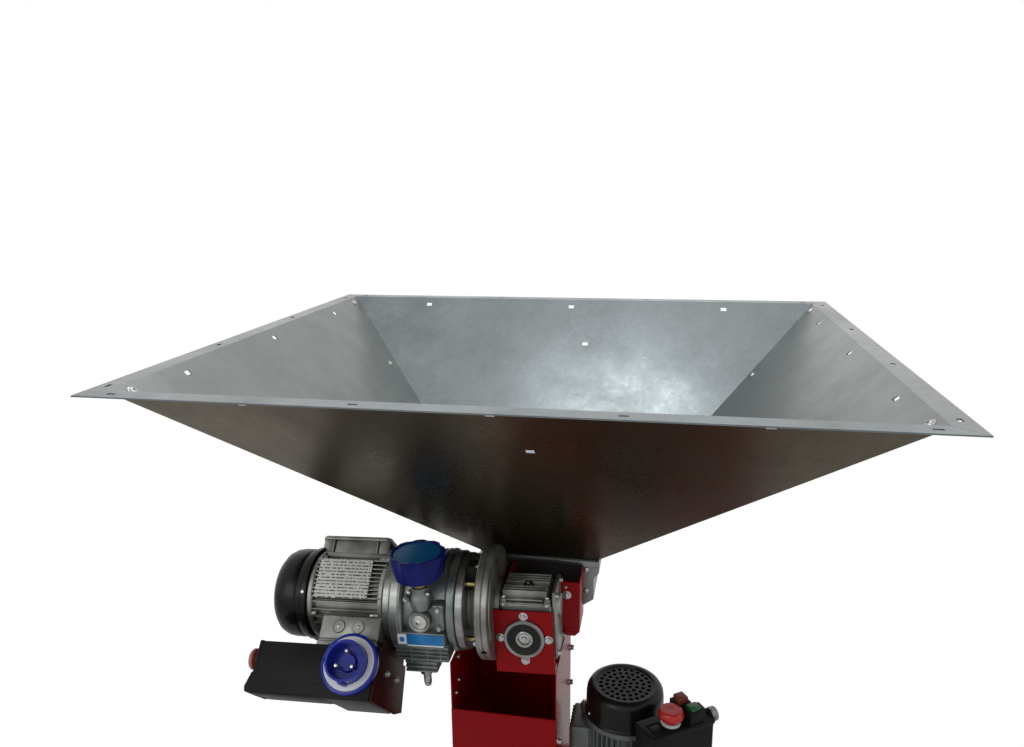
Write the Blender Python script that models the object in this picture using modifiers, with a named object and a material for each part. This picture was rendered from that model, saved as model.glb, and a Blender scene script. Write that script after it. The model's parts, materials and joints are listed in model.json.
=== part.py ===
"""Grape crusher destemmer: hopper, roller crusher, drive, feed column and vertical destemming drum.

Metres, +Z up. The origin is on the floor, under the centre of the hopper's rim. The rollers'
drive (worm gearbox, variator, motor) is placed in its own frame on the driven roller's axis,
and hangs a little low at its motor end. The drive motor is turned about its own axis, so that
its terminal box and the plug and switch unit under it face down and forwards.
"""
import math

import bmesh
import bpy
from mathutils import Matrix, Vector

GAP = 0.0003                  # clearance between pieces that touch
RUN = 0.0005                  # running clearance round a shaft
SHEET = 0.0020                # wall of the galvanised and the painted sheet

# hopper
RIM_HEIGHT = 1.350
RIM_HALF_X = 0.541
RIM_HALF_Y = 0.4635
FLANGE = 0.030                # width of the turned-out rim
NECK_X = (-0.094, 0.102)      # mouth of the hopper's neck
NECK_Y = (-0.045, 0.045)
NECK_HEIGHT = 0.964
LIP = 0.014                   # upright lip below the neck, inside the crusher box
SLOT = (0.012, 0.006)         # punched slots, length and height

# crusher box and rollers
ROLLER_X = -0.001             # driven roller
ROLLER_Z = 0.890
ROLLER_PITCH = 0.080          # centre distance of the two rollers
ROLLER_RADIUS = 0.038
ROLLER_FLUTES = 16
FLUTE_DEPTH = 0.005
SHAFT_RADIUS = 0.009
BOX_BOTTOM = 0.775
BEARING_RADIUS = 0.020
GEAR_TEETH = 18
GEAR_WIDTH = 0.010

# column
COLUMN_X = (-0.141, 0.045)
COLUMN_Y = (-0.150, 0.063)
COLUMN_TOP = 0.800
WINDOW_SILL = 0.710           # top of the front panel
CHUTE_TOP = 0.640

# roller drive: local X runs along the motor, the origin is on the driven roller's axis
DRIVE_Y = -0.150
DRIVE_SAG = math.radians(2.5)
WORM_OFFSET = 0.040           # worm above the wheel
HOUSING_X = (-0.041, 0.046)
HOUSING_HALF_Y = 0.036
HOUSING_Z = (-0.052, 0.080)
HOLLOW_SHAFT_RADIUS = 0.014
WHEEL_RADIUS = 0.0300
WORM_RADIUS = 0.0095
BOSS_RADIUS = 0.032
FLANGE_RADIUS = 0.093
SPACER_RADIUS = 0.079
VARIATOR_RADIUS = 0.082
VARIATOR_X = (-0.213, -0.106)
HANDWHEEL_X = -0.158
HANDWHEEL_Y = -0.075
HANDWHEEL_Z = (0.127, 0.163)
HANDWHEEL_RADIUS = 0.046

# motor on the variator, in the frame that is turned about the motor's axis
MOTOR_TURN = math.radians(-45)
MOTOR_RADIUS = 0.070
MOTOR_X = (-0.361, -0.213)
COVER_RADIUS = 0.075
COVER_LENGTH = 0.068
MOTOR_SHAFT_RADIUS = 0.007
SHIELD = 0.013                # flange that meets the variator
TERMINAL_X = (-0.330, MOTOR_X[1] - SHIELD - GAP)
TERMINAL_Y = (-0.060, 0.050)
TERMINAL_FACE = -0.1017       # outer face of the terminal box
SWITCH_X = (-0.424, -0.216)
SWITCH_Y = (-0.080, 0.040)
SWITCH_DEPTH = 0.080
INLET_X = -0.2547
INLET_Z = -0.131
INLET_RADIUS = 0.046

# vertical motor and destemming drum
DRUM_X = 0.157
DRUM_Y = -0.060
DECK_TOP = 0.365
DECK = 0.005
DECK_X = (-0.165, 0.440)
DECK_Y = (-0.345, 0.225)
TUBE = 0.040                  # square tube of the stand
STAND_MOTOR_TOP = 0.636
STAND_COVER_RADIUS = 0.0685
STAND_COVER_TOP = 0.721
STAND_SHAFT_RADIUS = 0.0095
GEAR_HEAD = 0.120             # reduction gear under the drum motor's stator
JACKET_RADIUS = 0.240
JACKET_BOTTOM = 0.150
CAGE_RADIUS = 0.203
BEATER_REACH = CAGE_RADIUS - 0.015
BEATERS = 3
WINDOW_ROWS = 2
CONTROL_TURN = math.radians(35)
CONTROL_X = (-0.042, 0.078)
CONTROL_Y = (-0.148, -0.096)
CONTROL_Z = (0.600, 0.735)

for old in list(bpy.data.objects):
    bpy.data.objects.remove(old, do_unlink=True)

PARTS = bpy.data.collections.new("crusher_destemmer")
CUTTERS = bpy.data.collections.new("cutters")
bpy.context.scene.collection.children.link(PARTS)
bpy.context.scene.collection.children.link(CUTTERS)


def material(name, colour, roughness, metallic):
    made = bpy.data.materials.new(name)
    made.use_nodes = True
    shader = made.node_tree.nodes["Principled BSDF"]
    shader.inputs["Base Color"].default_value = (*colour, 1.0)
    shader.inputs["Roughness"].default_value = roughness
    shader.inputs["Metallic"].default_value = metallic
    return made


GALVANISED = material("galvanised_steel", (0.55, 0.56, 0.56), 0.35, 1.0)
RED = material("red_paint", (0.40, 0.01, 0.02), 0.35, 0.0)
DARK_RED = material("dark_red_paint", (0.10, 0.01, 0.01), 0.45, 0.0)
CAST = material("cast_aluminium", (0.52, 0.53, 0.52), 0.45, 1.0)
GREY = material("grey_paint", (0.32, 0.36, 0.37), 0.45, 0.0)
STEEL = material("machined_steel", (0.50, 0.50, 0.50), 0.30, 1.0)
STAINLESS = material("stainless_steel", (0.60, 0.60, 0.59), 0.28, 1.0)
BLACK = material("black_plastic", (0.02, 0.02, 0.02), 0.45, 0.0)
BLUE = material("blue_plastic", (0.01, 0.03, 0.30), 0.35, 0.0)
BUTTON_RED = material("red_button", (0.55, 0.03, 0.02), 0.35, 0.0)
BUTTON_GREEN = material("green_button", (0.04, 0.25, 0.06), 0.35, 0.0)
BRONZE = material("bronze", (0.55, 0.38, 0.15), 0.40, 1.0)

TURNS = {"X": Matrix.Rotation(math.pi / 2, 4, "Y"),
         "Y": Matrix.Rotation(-math.pi / 2, 4, "X"),
         "Z": Matrix.Identity(4)}


def put(name, mesh, finish, frame=None, collection=PARTS):
    """Make the named object, shaded smooth where its edges are blunt."""
    made = bpy.data.objects.new(name, mesh)
    collection.objects.link(made)
    made.parent = frame
    if finish:
        mesh.materials.append(finish)
    mesh.shade_smooth()
    mesh.set_sharp_from_angle(angle=math.radians(35))
    return made


def to_mesh(name, bm):
    mesh = bpy.data.meshes.new(name)
    bmesh.ops.recalc_face_normals(bm, faces=bm.faces)
    if bm.calc_volume(signed=True) < 0:
        bmesh.ops.reverse_faces(bm, faces=bm.faces)
    bm.to_mesh(mesh)
    bm.free()
    return mesh


def block(name, x, y, z, finish=None, frame=None, bevel=0.0):
    bm = bmesh.new()
    size = Vector((x[1] - x[0], y[1] - y[0], z[1] - z[0]))
    middle = Vector((x[0] + x[1], y[0] + y[1], z[0] + z[1])) / 2
    bmesh.ops.create_cube(bm, size=1.0, matrix=Matrix.Translation(middle) @ Matrix.Diagonal((*size, 1.0)))
    if bevel:
        bmesh.ops.bevel(bm, geom=bm.edges[:], offset=bevel, affect="EDGES", segments=1, profile=0.5,
                        material=-1)
    return put(name, to_mesh(name, bm), finish, frame)


def rod(name, axis, centre, span, radius, finish=None, frame=None, sides=24, radius_end=None):
    """A cylinder or cone along axis; centre holds its other two coordinates, in X, Y, Z order."""
    bm = bmesh.new()
    middle = list(centre)
    middle.insert("XYZ".index(axis), (span[0] + span[1]) / 2)
    place = Matrix.Translation(middle) @ TURNS[axis]
    bmesh.ops.create_cone(bm, cap_ends=True, segments=sides, radius1=radius,
                          radius2=radius if radius_end is None else radius_end,
                          depth=span[1] - span[0], matrix=place)
    return put(name, to_mesh(name, bm), finish, frame)


def turned(name, axis, centre, profile, finish=None, frame=None, sides=24):
    """A turned shape: (radius, height along axis) points, outer side first and from the top down."""
    mesh = bpy.data.meshes.new(name)
    closed = profile[0][0] > 0 or profile[-1][0] > 0
    ends = [(i, i + 1) for i in range(len(profile) - 1)]
    if closed:
        ends.append((len(profile) - 1, 0))
    mesh.from_pydata([(radius, 0.0, height) for radius, height in profile], ends, [])
    made = put(name, mesh, finish, frame)
    place = list(centre)
    place.insert("XYZ".index(axis), 0.0)
    made.matrix_local = Matrix.Translation(place) @ TURNS[axis]
    screw = made.modifiers.new("turn", "SCREW")
    screw.steps = screw.render_steps = sides
    screw.use_merge_vertices = True
    screw.merge_threshold = 0.00001
    return made


def outline(name, axis, points, span, finish=None, frame=None):
    """A flat outline, in the two coordinates other than axis, extruded over span."""
    curve = bpy.data.curves.new(name, "CURVE")
    curve.dimensions = "2D"
    curve.fill_mode = "BOTH"
    curve.extrude = (span[1] - span[0]) / 2
    spline = curve.splines.new("POLY")
    spline.points.add(len(points) - 1)
    for point, (a, b) in zip(spline.points, points):
        point.co = (a, b, 0.0, 1.0)
    spline.use_cyclic_u = True
    drawn = bpy.data.objects.new(name, curve)
    CUTTERS.objects.link(drawn)
    graph = bpy.context.evaluated_depsgraph_get()
    mesh = bpy.data.meshes.new_from_object(drawn.evaluated_get(graph))
    bpy.data.objects.remove(drawn)
    bm = bmesh.new()
    bm.from_mesh(mesh)
    bmesh.ops.remove_doubles(bm, verts=bm.verts, dist=0.000001)
    middle = (span[0] + span[1]) / 2
    for vert in bm.verts:
        place = [vert.co.x, vert.co.y]
        place.insert("XYZ".index(axis), vert.co.z + middle)
        vert.co = place
    return put(name, to_mesh(name, bm), finish, frame)


def helper(tool):
    """Turn an object into a cutter: it shapes others and is left out of the part."""
    if tool.name in PARTS.objects:
        PARTS.objects.unlink(tool)
        CUTTERS.objects.link(tool)
    tool.hide_render = True
    tool.display_type = "WIRE"
    return tool


def cut(body, *tools):
    for tool in tools:
        step = body.modifiers.new("cut", "BOOLEAN")
        step.operation = "DIFFERENCE"
        step.solver = "EXACT"
        step.object = helper(tool)
    return body


def fuse(body, *tools):
    for tool in tools:
        step = body.modifiers.new("join", "BOOLEAN")
        step.operation = "UNION"
        step.solver = "EXACT"
        step.object = helper(tool)
    return body


def folded_sheet(name, rows, towards, finish, wall_side):
    """A sheet folded along straight lines, from the pairs of points that end each fold.

    Its normals face the point towards, and the wall grows along them (1) or against them (-1).
    """
    bm = bmesh.new()
    grid = bmesh.ops.create_grid(bm, x_segments=1, y_segments=len(rows) - 1, size=1.0)["verts"]
    ordered = sorted(grid, key=lambda vert: (round(vert.co.y, 4), vert.co.x))
    for vert, place in zip(ordered, [point for row in rows for point in row]):
        vert.co = place
    bm.normal_update()
    lean = sum(face.normal.dot(Vector(towards) - face.calc_center_median()) for face in bm.faces)
    if lean < 0:
        bmesh.ops.reverse_faces(bm, faces=bm.faces)
    mesh = bpy.data.meshes.new(name)
    bm.to_mesh(mesh)
    bm.free()
    made = put(name, mesh, finish)
    wall = made.modifiers.new("wall", "SOLIDIFY")
    wall.thickness = SHEET
    wall.offset = wall_side
    wall.use_even_offset = True
    return made


def empty(name, location, rotation, parent=None):
    made = bpy.data.objects.new(name, None)
    CUTTERS.objects.link(made)
    made.location = location
    made.rotation_euler = rotation
    made.parent = parent
    return made


DRIVE = empty("drive_frame", (ROLLER_X, DRIVE_Y, ROLLER_Z), (0.0, -DRIVE_SAG, 0.0))
MOTOR = empty("motor_frame", (0.0, 0.0, WORM_OFFSET), (MOTOR_TURN, 0.0, 0.0), DRIVE)
CONTROL = empty("control_frame", (DRUM_X, DRUM_Y, 0.0), (0.0, 0.0, CONTROL_TURN))
WORM_LINE = (0.0, WORM_OFFSET)
MOTOR_LINE = (0.0, 0.0)


# ---------------------------------------------------------------- hopper

MITRE = 0.0006                # slit between two panels at a corner
WALL_SLOT_X = (-0.328, 0.0, 0.328)
WALL_SLOT_Y = (-0.275, 0.0, 0.275)
RIM_SLOT_X = (-0.493, -0.163, 0.163, 0.493)
RIM_SLOT_Y = (-0.410, -0.136, 0.136, 0.410)
RIM_SLOT_INSET = 0.0145       # from the rim's outer edge
WALL_SLOT_DROP = 0.014        # below the rim
DEEP_SLOT = (0.038, 0.083)     # along the front and back walls, and below the rim


def hopper_panel(name, side, along):
    """One wall with its rim strip and lip: side is -1 or 1, along is the axis that it runs along."""
    across = (RIM_HALF_Y, NECK_Y) if along == "X" else (RIM_HALF_X, NECK_X)
    run = (RIM_HALF_X, NECK_X) if along == "X" else (RIM_HALF_Y, NECK_Y)
    seam = 0.0 if along == "X" else MITRE
    neck = across[1][0 if side < 0 else 1]
    steps = ((run[0], -run[0], side * across[0], RIM_HEIGHT),
             (run[0] - FLANGE, FLANGE - run[0], side * (across[0] - FLANGE), RIM_HEIGHT),
             (run[1][1], run[1][0], neck, NECK_HEIGHT),
             (run[1][1], run[1][0], neck, NECK_HEIGHT - LIP))
    rows = []
    for high, low, place, height in steps:
        ends = ((low + seam, place), (high - seam, place))
        rows.append([(a, b, height) if along == "X" else (b, a, height) for a, b in ends])
    panel = folded_sheet(name, rows, (0.0, 0.0, RIM_HEIGHT), GALVANISED, -1.0)
    half_x, half_y = SLOT[0] / 2, SLOT[1] / 2
    rim_line = side * (across[0] - RIM_SLOT_INSET)
    for place in RIM_SLOT_X if along == "X" else RIM_SLOT_Y:
        a, b = (place - half_x, place + half_x), (rim_line - half_y, rim_line + half_y)
        height = (RIM_HEIGHT - 2 * SHEET, RIM_HEIGHT + SHEET)
        cut(panel, block("slot", *((a, b) if along == "X" else (b, a)), height))
    slope = (across[0] - FLANGE - abs(neck)) / (RIM_HEIGHT - NECK_HEIGHT)
    spots = [(place, WALL_SLOT_DROP) for place in (WALL_SLOT_X if along == "X" else WALL_SLOT_Y)]
    for place, drop in spots + ([DEEP_SLOT] if along == "X" else []):
        wall_line = side * (across[0] - FLANGE - slope * drop)
        height = (RIM_HEIGHT - drop - half_y, RIM_HEIGHT - drop + half_y)
        a, b = (place - half_x, place + half_x), (wall_line - 0.012, wall_line + 0.012)
        cut(panel, block("slot", *((a, b) if along == "X" else (b, a)), height))
    return panel


def hopper():
    for name, side, along in (("hopper_front", -1, "X"), ("hopper_back", 1, "X"),
                              ("hopper_left", -1, "Y"), ("hopper_right", 1, "Y")):
        hopper_panel(name, side, along)


# ---------------------------------------------------------------- crusher box and rollers

BOX_X = (NECK_X[0] - SHEET - GAP, NECK_X[1] + SHEET + GAP)
BOX_Y = (NECK_Y[0] - SHEET - GAP, NECK_Y[1] + SHEET + GAP)
BOX_TOP = NECK_HEIGHT - 0.0015
BOX_LOWER_X = (COLUMN_X[0] + 2 * SHEET + GAP, COLUMN_X[1] - 2 * SHEET - GAP)
BOX_STEP = 0.009              # the upper right corner steps in by this
IDLE_X = ROLLER_X - ROLLER_PITCH
ROLLER_GAP = 0.0035           # between a roller's face and the plate
LEFT_FOLDS = (ROLLER_Z + 0.048, ROLLER_Z + 0.018)
RIGHT_FOLDS = (ROLLER_Z + 0.050, ROLLER_Z + 0.040, ROLLER_Z - 0.001, ROLLER_Z - 0.040)
LEFT_SIDE = ((BOX_X[0], BOX_TOP), (BOX_X[0], LEFT_FOLDS[0]), (BOX_LOWER_X[0], LEFT_FOLDS[1]),
             (BOX_LOWER_X[0], BOX_BOTTOM))
RIGHT_SIDE = ((BOX_X[1], BOX_TOP), (BOX_X[1], RIGHT_FOLDS[0]), (BOX_X[1] - BOX_STEP, RIGHT_FOLDS[1]),
              (BOX_X[1] - BOX_STEP, RIGHT_FOLDS[2]), (BOX_LOWER_X[1], RIGHT_FOLDS[3]),
              (BOX_LOWER_X[1], BOX_BOTTOM))


def crusher_box():
    inside = (ROLLER_X, 0.0, 0.870)
    for name, side in (("crusher_side_left", LEFT_SIDE), ("crusher_side_right", RIGHT_SIDE)):
        rows = [[(x, BOX_Y[0] + GAP, z), (x, BOX_Y[1] - GAP, z)] for x, z in side]
        folded_sheet(name, rows, inside, GALVANISED, -1.0)
    plate = [(x - SHEET, z) for x, z in LEFT_SIDE] + [(x + SHEET, z) for x, z in reversed(RIGHT_SIDE)]
    for name, y in (("crusher_plate_front", (BOX_Y[0] - SHEET, BOX_Y[0])),
                    ("crusher_plate_back", (BOX_Y[1], BOX_Y[1] + SHEET))):
        made = outline(name, "Y", plate, y, GALVANISED)
        for x in (ROLLER_X, IDLE_X):
            cut(made, rod("bore", "Y", (x, ROLLER_Z), (y[0] - 0.01, y[1] + 0.01), BEARING_RADIUS))


def fluted(radius, depth, count, centre):
    """Outline of a roller with square flutes."""
    points = []
    for tooth in range(count):
        for share, reach in ((0.0, radius), (0.5, radius), (0.58, radius - depth), (0.92, radius - depth)):
            angle = 2 * math.pi * (tooth + share) / count
            points.append((centre[0] + reach * math.cos(angle), centre[1] + reach * math.sin(angle)))
    return points


def gear_outline(teeth, pitch_radius, centre, phase):
    """Straight-sided teeth with backlash, standing on the pitch circle by 0.8 of a module."""
    module = 2 * pitch_radius / teeth
    tip, root = pitch_radius + 0.8 * module, pitch_radius - 1.1 * module
    points = []
    for tooth in range(teeth):
        for share, reach in ((-0.27, root), (-0.12, tip), (0.12, tip), (0.27, root)):
            angle = 2 * math.pi * (tooth + share + phase) / teeth
            points.append((centre[0] + reach * math.cos(angle), centre[1] + reach * math.sin(angle)))
    return points


def bearing(name, x, y_plate, outwards):
    """Flanged bush in a crusher plate; outwards is the side of its flange, -1 or 1 along Y."""
    bore = SHAFT_RADIUS + RUN
    inner = y_plate[0 if outwards > 0 else 1] - outwards * 0.0028
    seat = y_plate[1 if outwards > 0 else 0] + outwards * GAP
    outer = seat + outwards * 0.004
    profile = [(BEARING_RADIUS - GAP, inner), (BEARING_RADIUS - GAP, seat), (BEARING_RADIUS + 0.010, seat),
               (BEARING_RADIUS + 0.010, outer), (bore, outer), (bore, inner)]
    if outwards > 0:
        profile.reverse()
    return turned(name, "Y", (x, ROLLER_Z), profile, BRONZE)


def rollers():
    half = BOX_Y[1] - ROLLER_GAP
    gear_y = (BOX_Y[1] + SHEET + 0.006, BOX_Y[1] + SHEET + 0.006 + GEAR_WIDTH)
    shaft_back = gear_y[1] + 0.002
    front_end = {"right": DRIVE_Y - HOUSING_HALF_Y - 0.0035, "left": BOX_Y[0] - SHEET - 0.003}
    for side, x, phase in (("right", ROLLER_X, 0.5), ("left", IDLE_X, 0.0)):
        centre = (x, ROLLER_Z)
        roller = outline("roller_" + side, "Y", fluted(ROLLER_RADIUS, FLUTE_DEPTH, ROLLER_FLUTES, centre),
                         (-half, half), STAINLESS)
        fuse(roller, rod("shaft", "Y", centre, (front_end[side], shaft_back), SHAFT_RADIUS))
        gear = outline("roller_gear_" + side, "Y",
                       gear_outline(GEAR_TEETH, ROLLER_PITCH / 2, centre, phase), gear_y, STEEL)
        cut(gear, rod("bore", "Y", centre, (gear_y[0] - 0.01, gear_y[1] + 0.01), SHAFT_RADIUS + GAP))
        bearing("bearing_front_" + side, x, (BOX_Y[0] - SHEET, BOX_Y[0]), -1)
        bearing("bearing_back_" + side, x, (BOX_Y[1], BOX_Y[1] + SHEET), 1)
    reach = ROLLER_PITCH / 2 + 0.009
    seat = BOX_Y[1] + SHEET + GAP
    guard_x = (IDLE_X - reach, ROLLER_X + reach)
    guard_z = (ROLLER_Z - reach, ROLLER_Z + reach)
    guard_y = (seat, shaft_back + 0.004)
    guard = block("gear_guard", guard_x, guard_y, guard_z, RED, bevel=0.0012)
    cut(guard, block("hollow", (guard_x[0] + SHEET, guard_x[1] - SHEET), (seat - 0.01, guard_y[1] - SHEET),
                     (guard_z[0] + SHEET, guard_z[1] - SHEET)))


# ---------------------------------------------------------------- column

DECK_HOLE_X = (-0.002, 0.040)
DECK_HOLE_Y = (-0.145, 0.055)


def column():
    centre = (sum(COLUMN_X) / 2, sum(COLUMN_Y) / 2)
    foot = DECK_TOP + GAP
    front = COLUMN_Y[0] + SHEET + GAP
    corners = ((COLUMN_X[0], front), (COLUMN_X[0], COLUMN_Y[1]), (COLUMN_X[1], COLUMN_Y[1]),
               (COLUMN_X[1], front))
    rows = [[(x, y, foot), (x, y, COLUMN_TOP)] for x, y in corners]
    folded_sheet("column_shell", rows, (*centre, 0.65), RED, 1.0)
    block("column_front_panel", COLUMN_X, (COLUMN_Y[0], COLUMN_Y[0] + SHEET), (foot, WINDOW_SILL), RED)
    wall = COLUMN_X[0] + SHEET + GAP
    low = DECK_HOLE_X[0] - 0.001
    edge_y = (front + SHEET, COLUMN_Y[1] - SHEET - GAP)
    chute = ((wall, CHUTE_TOP + 0.020), (wall, CHUTE_TOP), (low, DECK_TOP + 0.003))
    rows = [[(x, edge_y[0], z), (x, edge_y[1], z)] for x, z in chute]
    folded_sheet("feed_chute", rows, (centre[0], centre[1], COLUMN_TOP), RED, 1.0)


BRACKET_X = (-0.046, 0.084)
BRACKET_Z = (0.853, 0.953)
BRACKET_WALL = 0.003


def gearbox_bracket():
    """Box-shaped bracket between the crusher's front plate and the gearbox; open at its back."""
    front = DRIVE_Y + HOUSING_HALF_Y + GAP
    back = BOX_Y[0] - SHEET - GAP
    corner = 0.008
    points = [(BRACKET_X[0], BRACKET_Z[1]), (BRACKET_X[0], BRACKET_Z[0]),
              (BRACKET_X[1] - corner, BRACKET_Z[0]), (BRACKET_X[1], BRACKET_Z[0] + corner),
              (BRACKET_X[1], BRACKET_Z[1])]
    made = outline("gearbox_bracket", "Y", points, (front, back), RED)
    cut(made, block("hollow", (BRACKET_X[0] + BRACKET_WALL, BRACKET_X[1] - BRACKET_WALL),
                    (front + BRACKET_WALL, back + 0.01), (BRACKET_Z[0] + BRACKET_WALL, BRACKET_Z[1] - BRACKET_WALL)),
        rod("bore", "Y", (ROLLER_X, ROLLER_Z), (front - 0.01, front + 0.01), HOLLOW_SHAFT_RADIUS + 0.003))


# ---------------------------------------------------------------- worm gearbox

HOUSING_Y = (-HOUSING_HALF_Y, HOUSING_HALF_Y)
COVER_Y = (-HOUSING_HALF_Y - GAP - 0.003, -HOUSING_HALF_Y - GAP)
PLATE_Y = (COVER_Y[0] - GAP - 0.003, COVER_Y[0] - GAP)
PLATE_Z = (-0.063, 0.048)
PLATE_RETURN = 0.022
BOSS_FACE = -0.047
END_COVER_X = (HOUSING_X[1] + GAP, HOUSING_X[1] + 0.006)
INPUT_NECK = HOUSING_X[0] - 0.0085
FLANGE_BACK = INPUT_NECK - 0.0095
PLATE_X = (INPUT_NECK + GAP, 0.048)
VARIATOR_FLANGE = 0.0110
SPACER_END = VARIATOR_X[1] + 0.0145
SPINDLE_RADIUS = 0.006
WORM_SHAFT_RADIUS = 0.007


def worm_gearbox():
    housing = block("gearbox_housing", HOUSING_X, HOUSING_Y, HOUSING_Z, CAST, DRIVE, bevel=0.004)
    chamber = WHEEL_RADIUS + 0.0025
    cut(housing,
        rod("chamber", "Y", (0.0, 0.0), (HOUSING_Y[0] - 0.01, HOUSING_Y[1] - 0.007), chamber, frame=DRIVE),
        rod("bore", "Y", (0.0, 0.0), (0.0, HOUSING_Y[1] + 0.01), HOLLOW_SHAFT_RADIUS + 0.001, frame=DRIVE),
        rod("worm_bore", "X", WORM_LINE, (HOUSING_X[0] - 0.01, HOUSING_X[1] + 0.01), WORM_RADIUS + 0.003,
            frame=DRIVE))
    for fin in range(5):
        y = -0.024 + 0.012 * fin
        cut(housing, block("fin_gap", (-0.034, 0.034), (y - 0.0025, y + 0.0025),
                           (HOUSING_Z[1] - 0.008, HOUSING_Z[1] + 0.01), frame=DRIVE))
    bore = HOLLOW_SHAFT_RADIUS + 0.001
    turned("gearbox_cover", "Y", (0.0, 0.0),
           [(0.044, COVER_Y[1]), (0.044, COVER_Y[0]), (BOSS_RADIUS, COVER_Y[0]), (BOSS_RADIUS, BOSS_FACE),
            (BOSS_RADIUS - 0.004, BOSS_FACE), (BOSS_RADIUS - 0.004, BOSS_FACE + 0.003),
            (bore, BOSS_FACE + 0.003), (bore, COVER_Y[1])], CAST, DRIVE)
    plate = block("gearbox_plate", PLATE_X, PLATE_Y, PLATE_Z, RED, DRIVE)
    fuse(plate, block("return", (PLATE_X[1] - 0.003, PLATE_X[1]), (PLATE_Y[0] + 0.001, PLATE_Y[0] + PLATE_RETURN),
                      (PLATE_Z[0], HOUSING_Z[0] - 0.002), frame=DRIVE))
    cut(plate, rod("hole", "Y", (0.0, 0.0), (PLATE_Y[0] - 0.01, PLATE_Y[1] + 0.01), BOSS_RADIUS + GAP,
                   frame=DRIVE))
    block("gearbox_end_cover", END_COVER_X, (-0.034, 0.034), (-0.040, HOUSING_Z[1] - 0.002), CAST, DRIVE,
          bevel=0.0015)
    wheel = outline("worm_wheel", "Y", fluted(WHEEL_RADIUS, 0.0015, 20, (0.0, 0.0)), (-0.010, 0.010), BRONZE,
                    DRIVE)
    hub = (BOSS_FACE + 0.001, HOUSING_HALF_Y + 0.0025)
    fuse(wheel, rod("hub", "Y", (0.0, 0.0), hub, HOLLOW_SHAFT_RADIUS, frame=DRIVE))
    cut(wheel, rod("bore", "Y", (0.0, 0.0), (hub[0] - 0.01, hub[1] + 0.01), SHAFT_RADIUS + GAP, frame=DRIVE))
    turned("input_flange", "X", WORM_LINE,
           [(0.036, HOUSING_X[0] - GAP), (0.036, INPUT_NECK), (FLANGE_RADIUS, INPUT_NECK),
            (FLANGE_RADIUS, FLANGE_BACK), (0.0135, FLANGE_BACK), (0.0135, HOUSING_X[0] - GAP)], CAST, DRIVE,
           sides=36)


def worm():
    """Worm shaft, with the driven disc of the variator on its end."""
    shaft = rod("worm_shaft", "X", WORM_LINE, (VARIATOR_X[0] + 0.058, HOUSING_X[1] - 0.006),
                WORM_SHAFT_RADIUS, STEEL, DRIVE, sides=16)
    fuse(shaft, rod("thread", "X", WORM_LINE, (-0.022, 0.022), WORM_RADIUS, frame=DRIVE, sides=16),
         rod("driven_disc", "X", WORM_LINE, (VARIATOR_X[0] + 0.062, VARIATOR_X[0] + 0.084),
             VARIATOR_RADIUS - 0.026, frame=DRIVE, radius_end=VARIATOR_RADIUS - 0.042))


# ---------------------------------------------------------------- variator

def variator():
    flange = (FLANGE_BACK - GAP, FLANGE_BACK - VARIATOR_FLANGE)
    ring = (SPACER_END, VARIATOR_X[1] + GAP)
    bore = 0.0135
    turned("variator_flange", "X", WORM_LINE,
           [(FLANGE_RADIUS, flange[0]), (FLANGE_RADIUS, flange[1]), (0.045, flange[1]), (0.045, ring[0]),
            (SPACER_RADIUS, ring[0]), (SPACER_RADIUS, ring[1]), (bore, ring[1]), (bore, flange[0])],
           CAST, DRIVE, sides=36)
    left, right = VARIATOR_X
    rim = left + 0.022
    housing = rod("variator_housing", "X", WORM_LINE, (rim - 0.001, right), VARIATOR_RADIUS, GREY, DRIVE, sides=32)
    fuse(housing, rod("rim", "X", WORM_LINE, (left, rim), VARIATOR_RADIUS + 0.006, frame=DRIVE, sides=32),
         block("sump", (left + 0.006, right - 0.020), (-0.052, 0.052), (-0.055, 0.0), frame=DRIVE, bevel=0.006),
         rod("spindle_boss", "Z", (HANDWHEEL_X, HANDWHEEL_Y), (0.060, HANDWHEEL_Z[0] - 0.012), 0.014, frame=DRIVE))
    cut(housing,
        rod("cavity", "X", WORM_LINE, (left - 0.01, right - 0.008), VARIATOR_RADIUS - 0.010, frame=DRIVE, sides=32),
        rod("bore", "X", WORM_LINE, (right - 0.02, right + 0.01), bore, frame=DRIVE),
        rod("spindle_hole", "Z", (HANDWHEEL_X, HANDWHEEL_Y), (0.084, HANDWHEEL_Z[0]),
            SPINDLE_RADIUS + RUN, frame=DRIVE,
            sides=16))
    disc = rod("variator_disc", "X", WORM_LINE, (left + 0.020, left + 0.050),
               VARIATOR_RADIUS - 0.042, STEEL, DRIVE, radius_end=VARIATOR_RADIUS - 0.022)
    cut(disc, rod("bore", "X", WORM_LINE, (left, left + 0.040), MOTOR_SHAFT_RADIUS + GAP, frame=DRIVE, sides=16))
    wheel = rod("variator_handwheel", "Z", (HANDWHEEL_X, HANDWHEEL_Y), HANDWHEEL_Z, HANDWHEEL_RADIUS * 0.86, BLUE,
                DRIVE, sides=32, radius_end=HANDWHEEL_RADIUS)
    fuse(wheel, rod("spindle", "Z", (HANDWHEEL_X, HANDWHEEL_Y), (0.0855, HANDWHEEL_Z[0] + 0.002), SPINDLE_RADIUS,
                    frame=DRIVE, sides=16))


# ---------------------------------------------------------------- motors

def motor_frame(name, axis, centre, span, radius, shaft_radius, frame, finish, extras=()):
    """Finned stator housing with its end shields; the rotor's chamber is reached by the shaft's bore."""
    made = fuse(outline(name, axis, fluted(radius, 0.006, 18, centre), span, finish, frame), *extras)
    margin = 0.014
    cut(made, rod("chamber", axis, centre, (span[0] + margin, span[1] - margin), radius * 0.56, frame=frame),
        rod("bore", axis, centre, (span[0] - 0.01, span[1] + 0.01), shaft_radius + RUN, frame=frame, sides=16))
    return made


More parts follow.
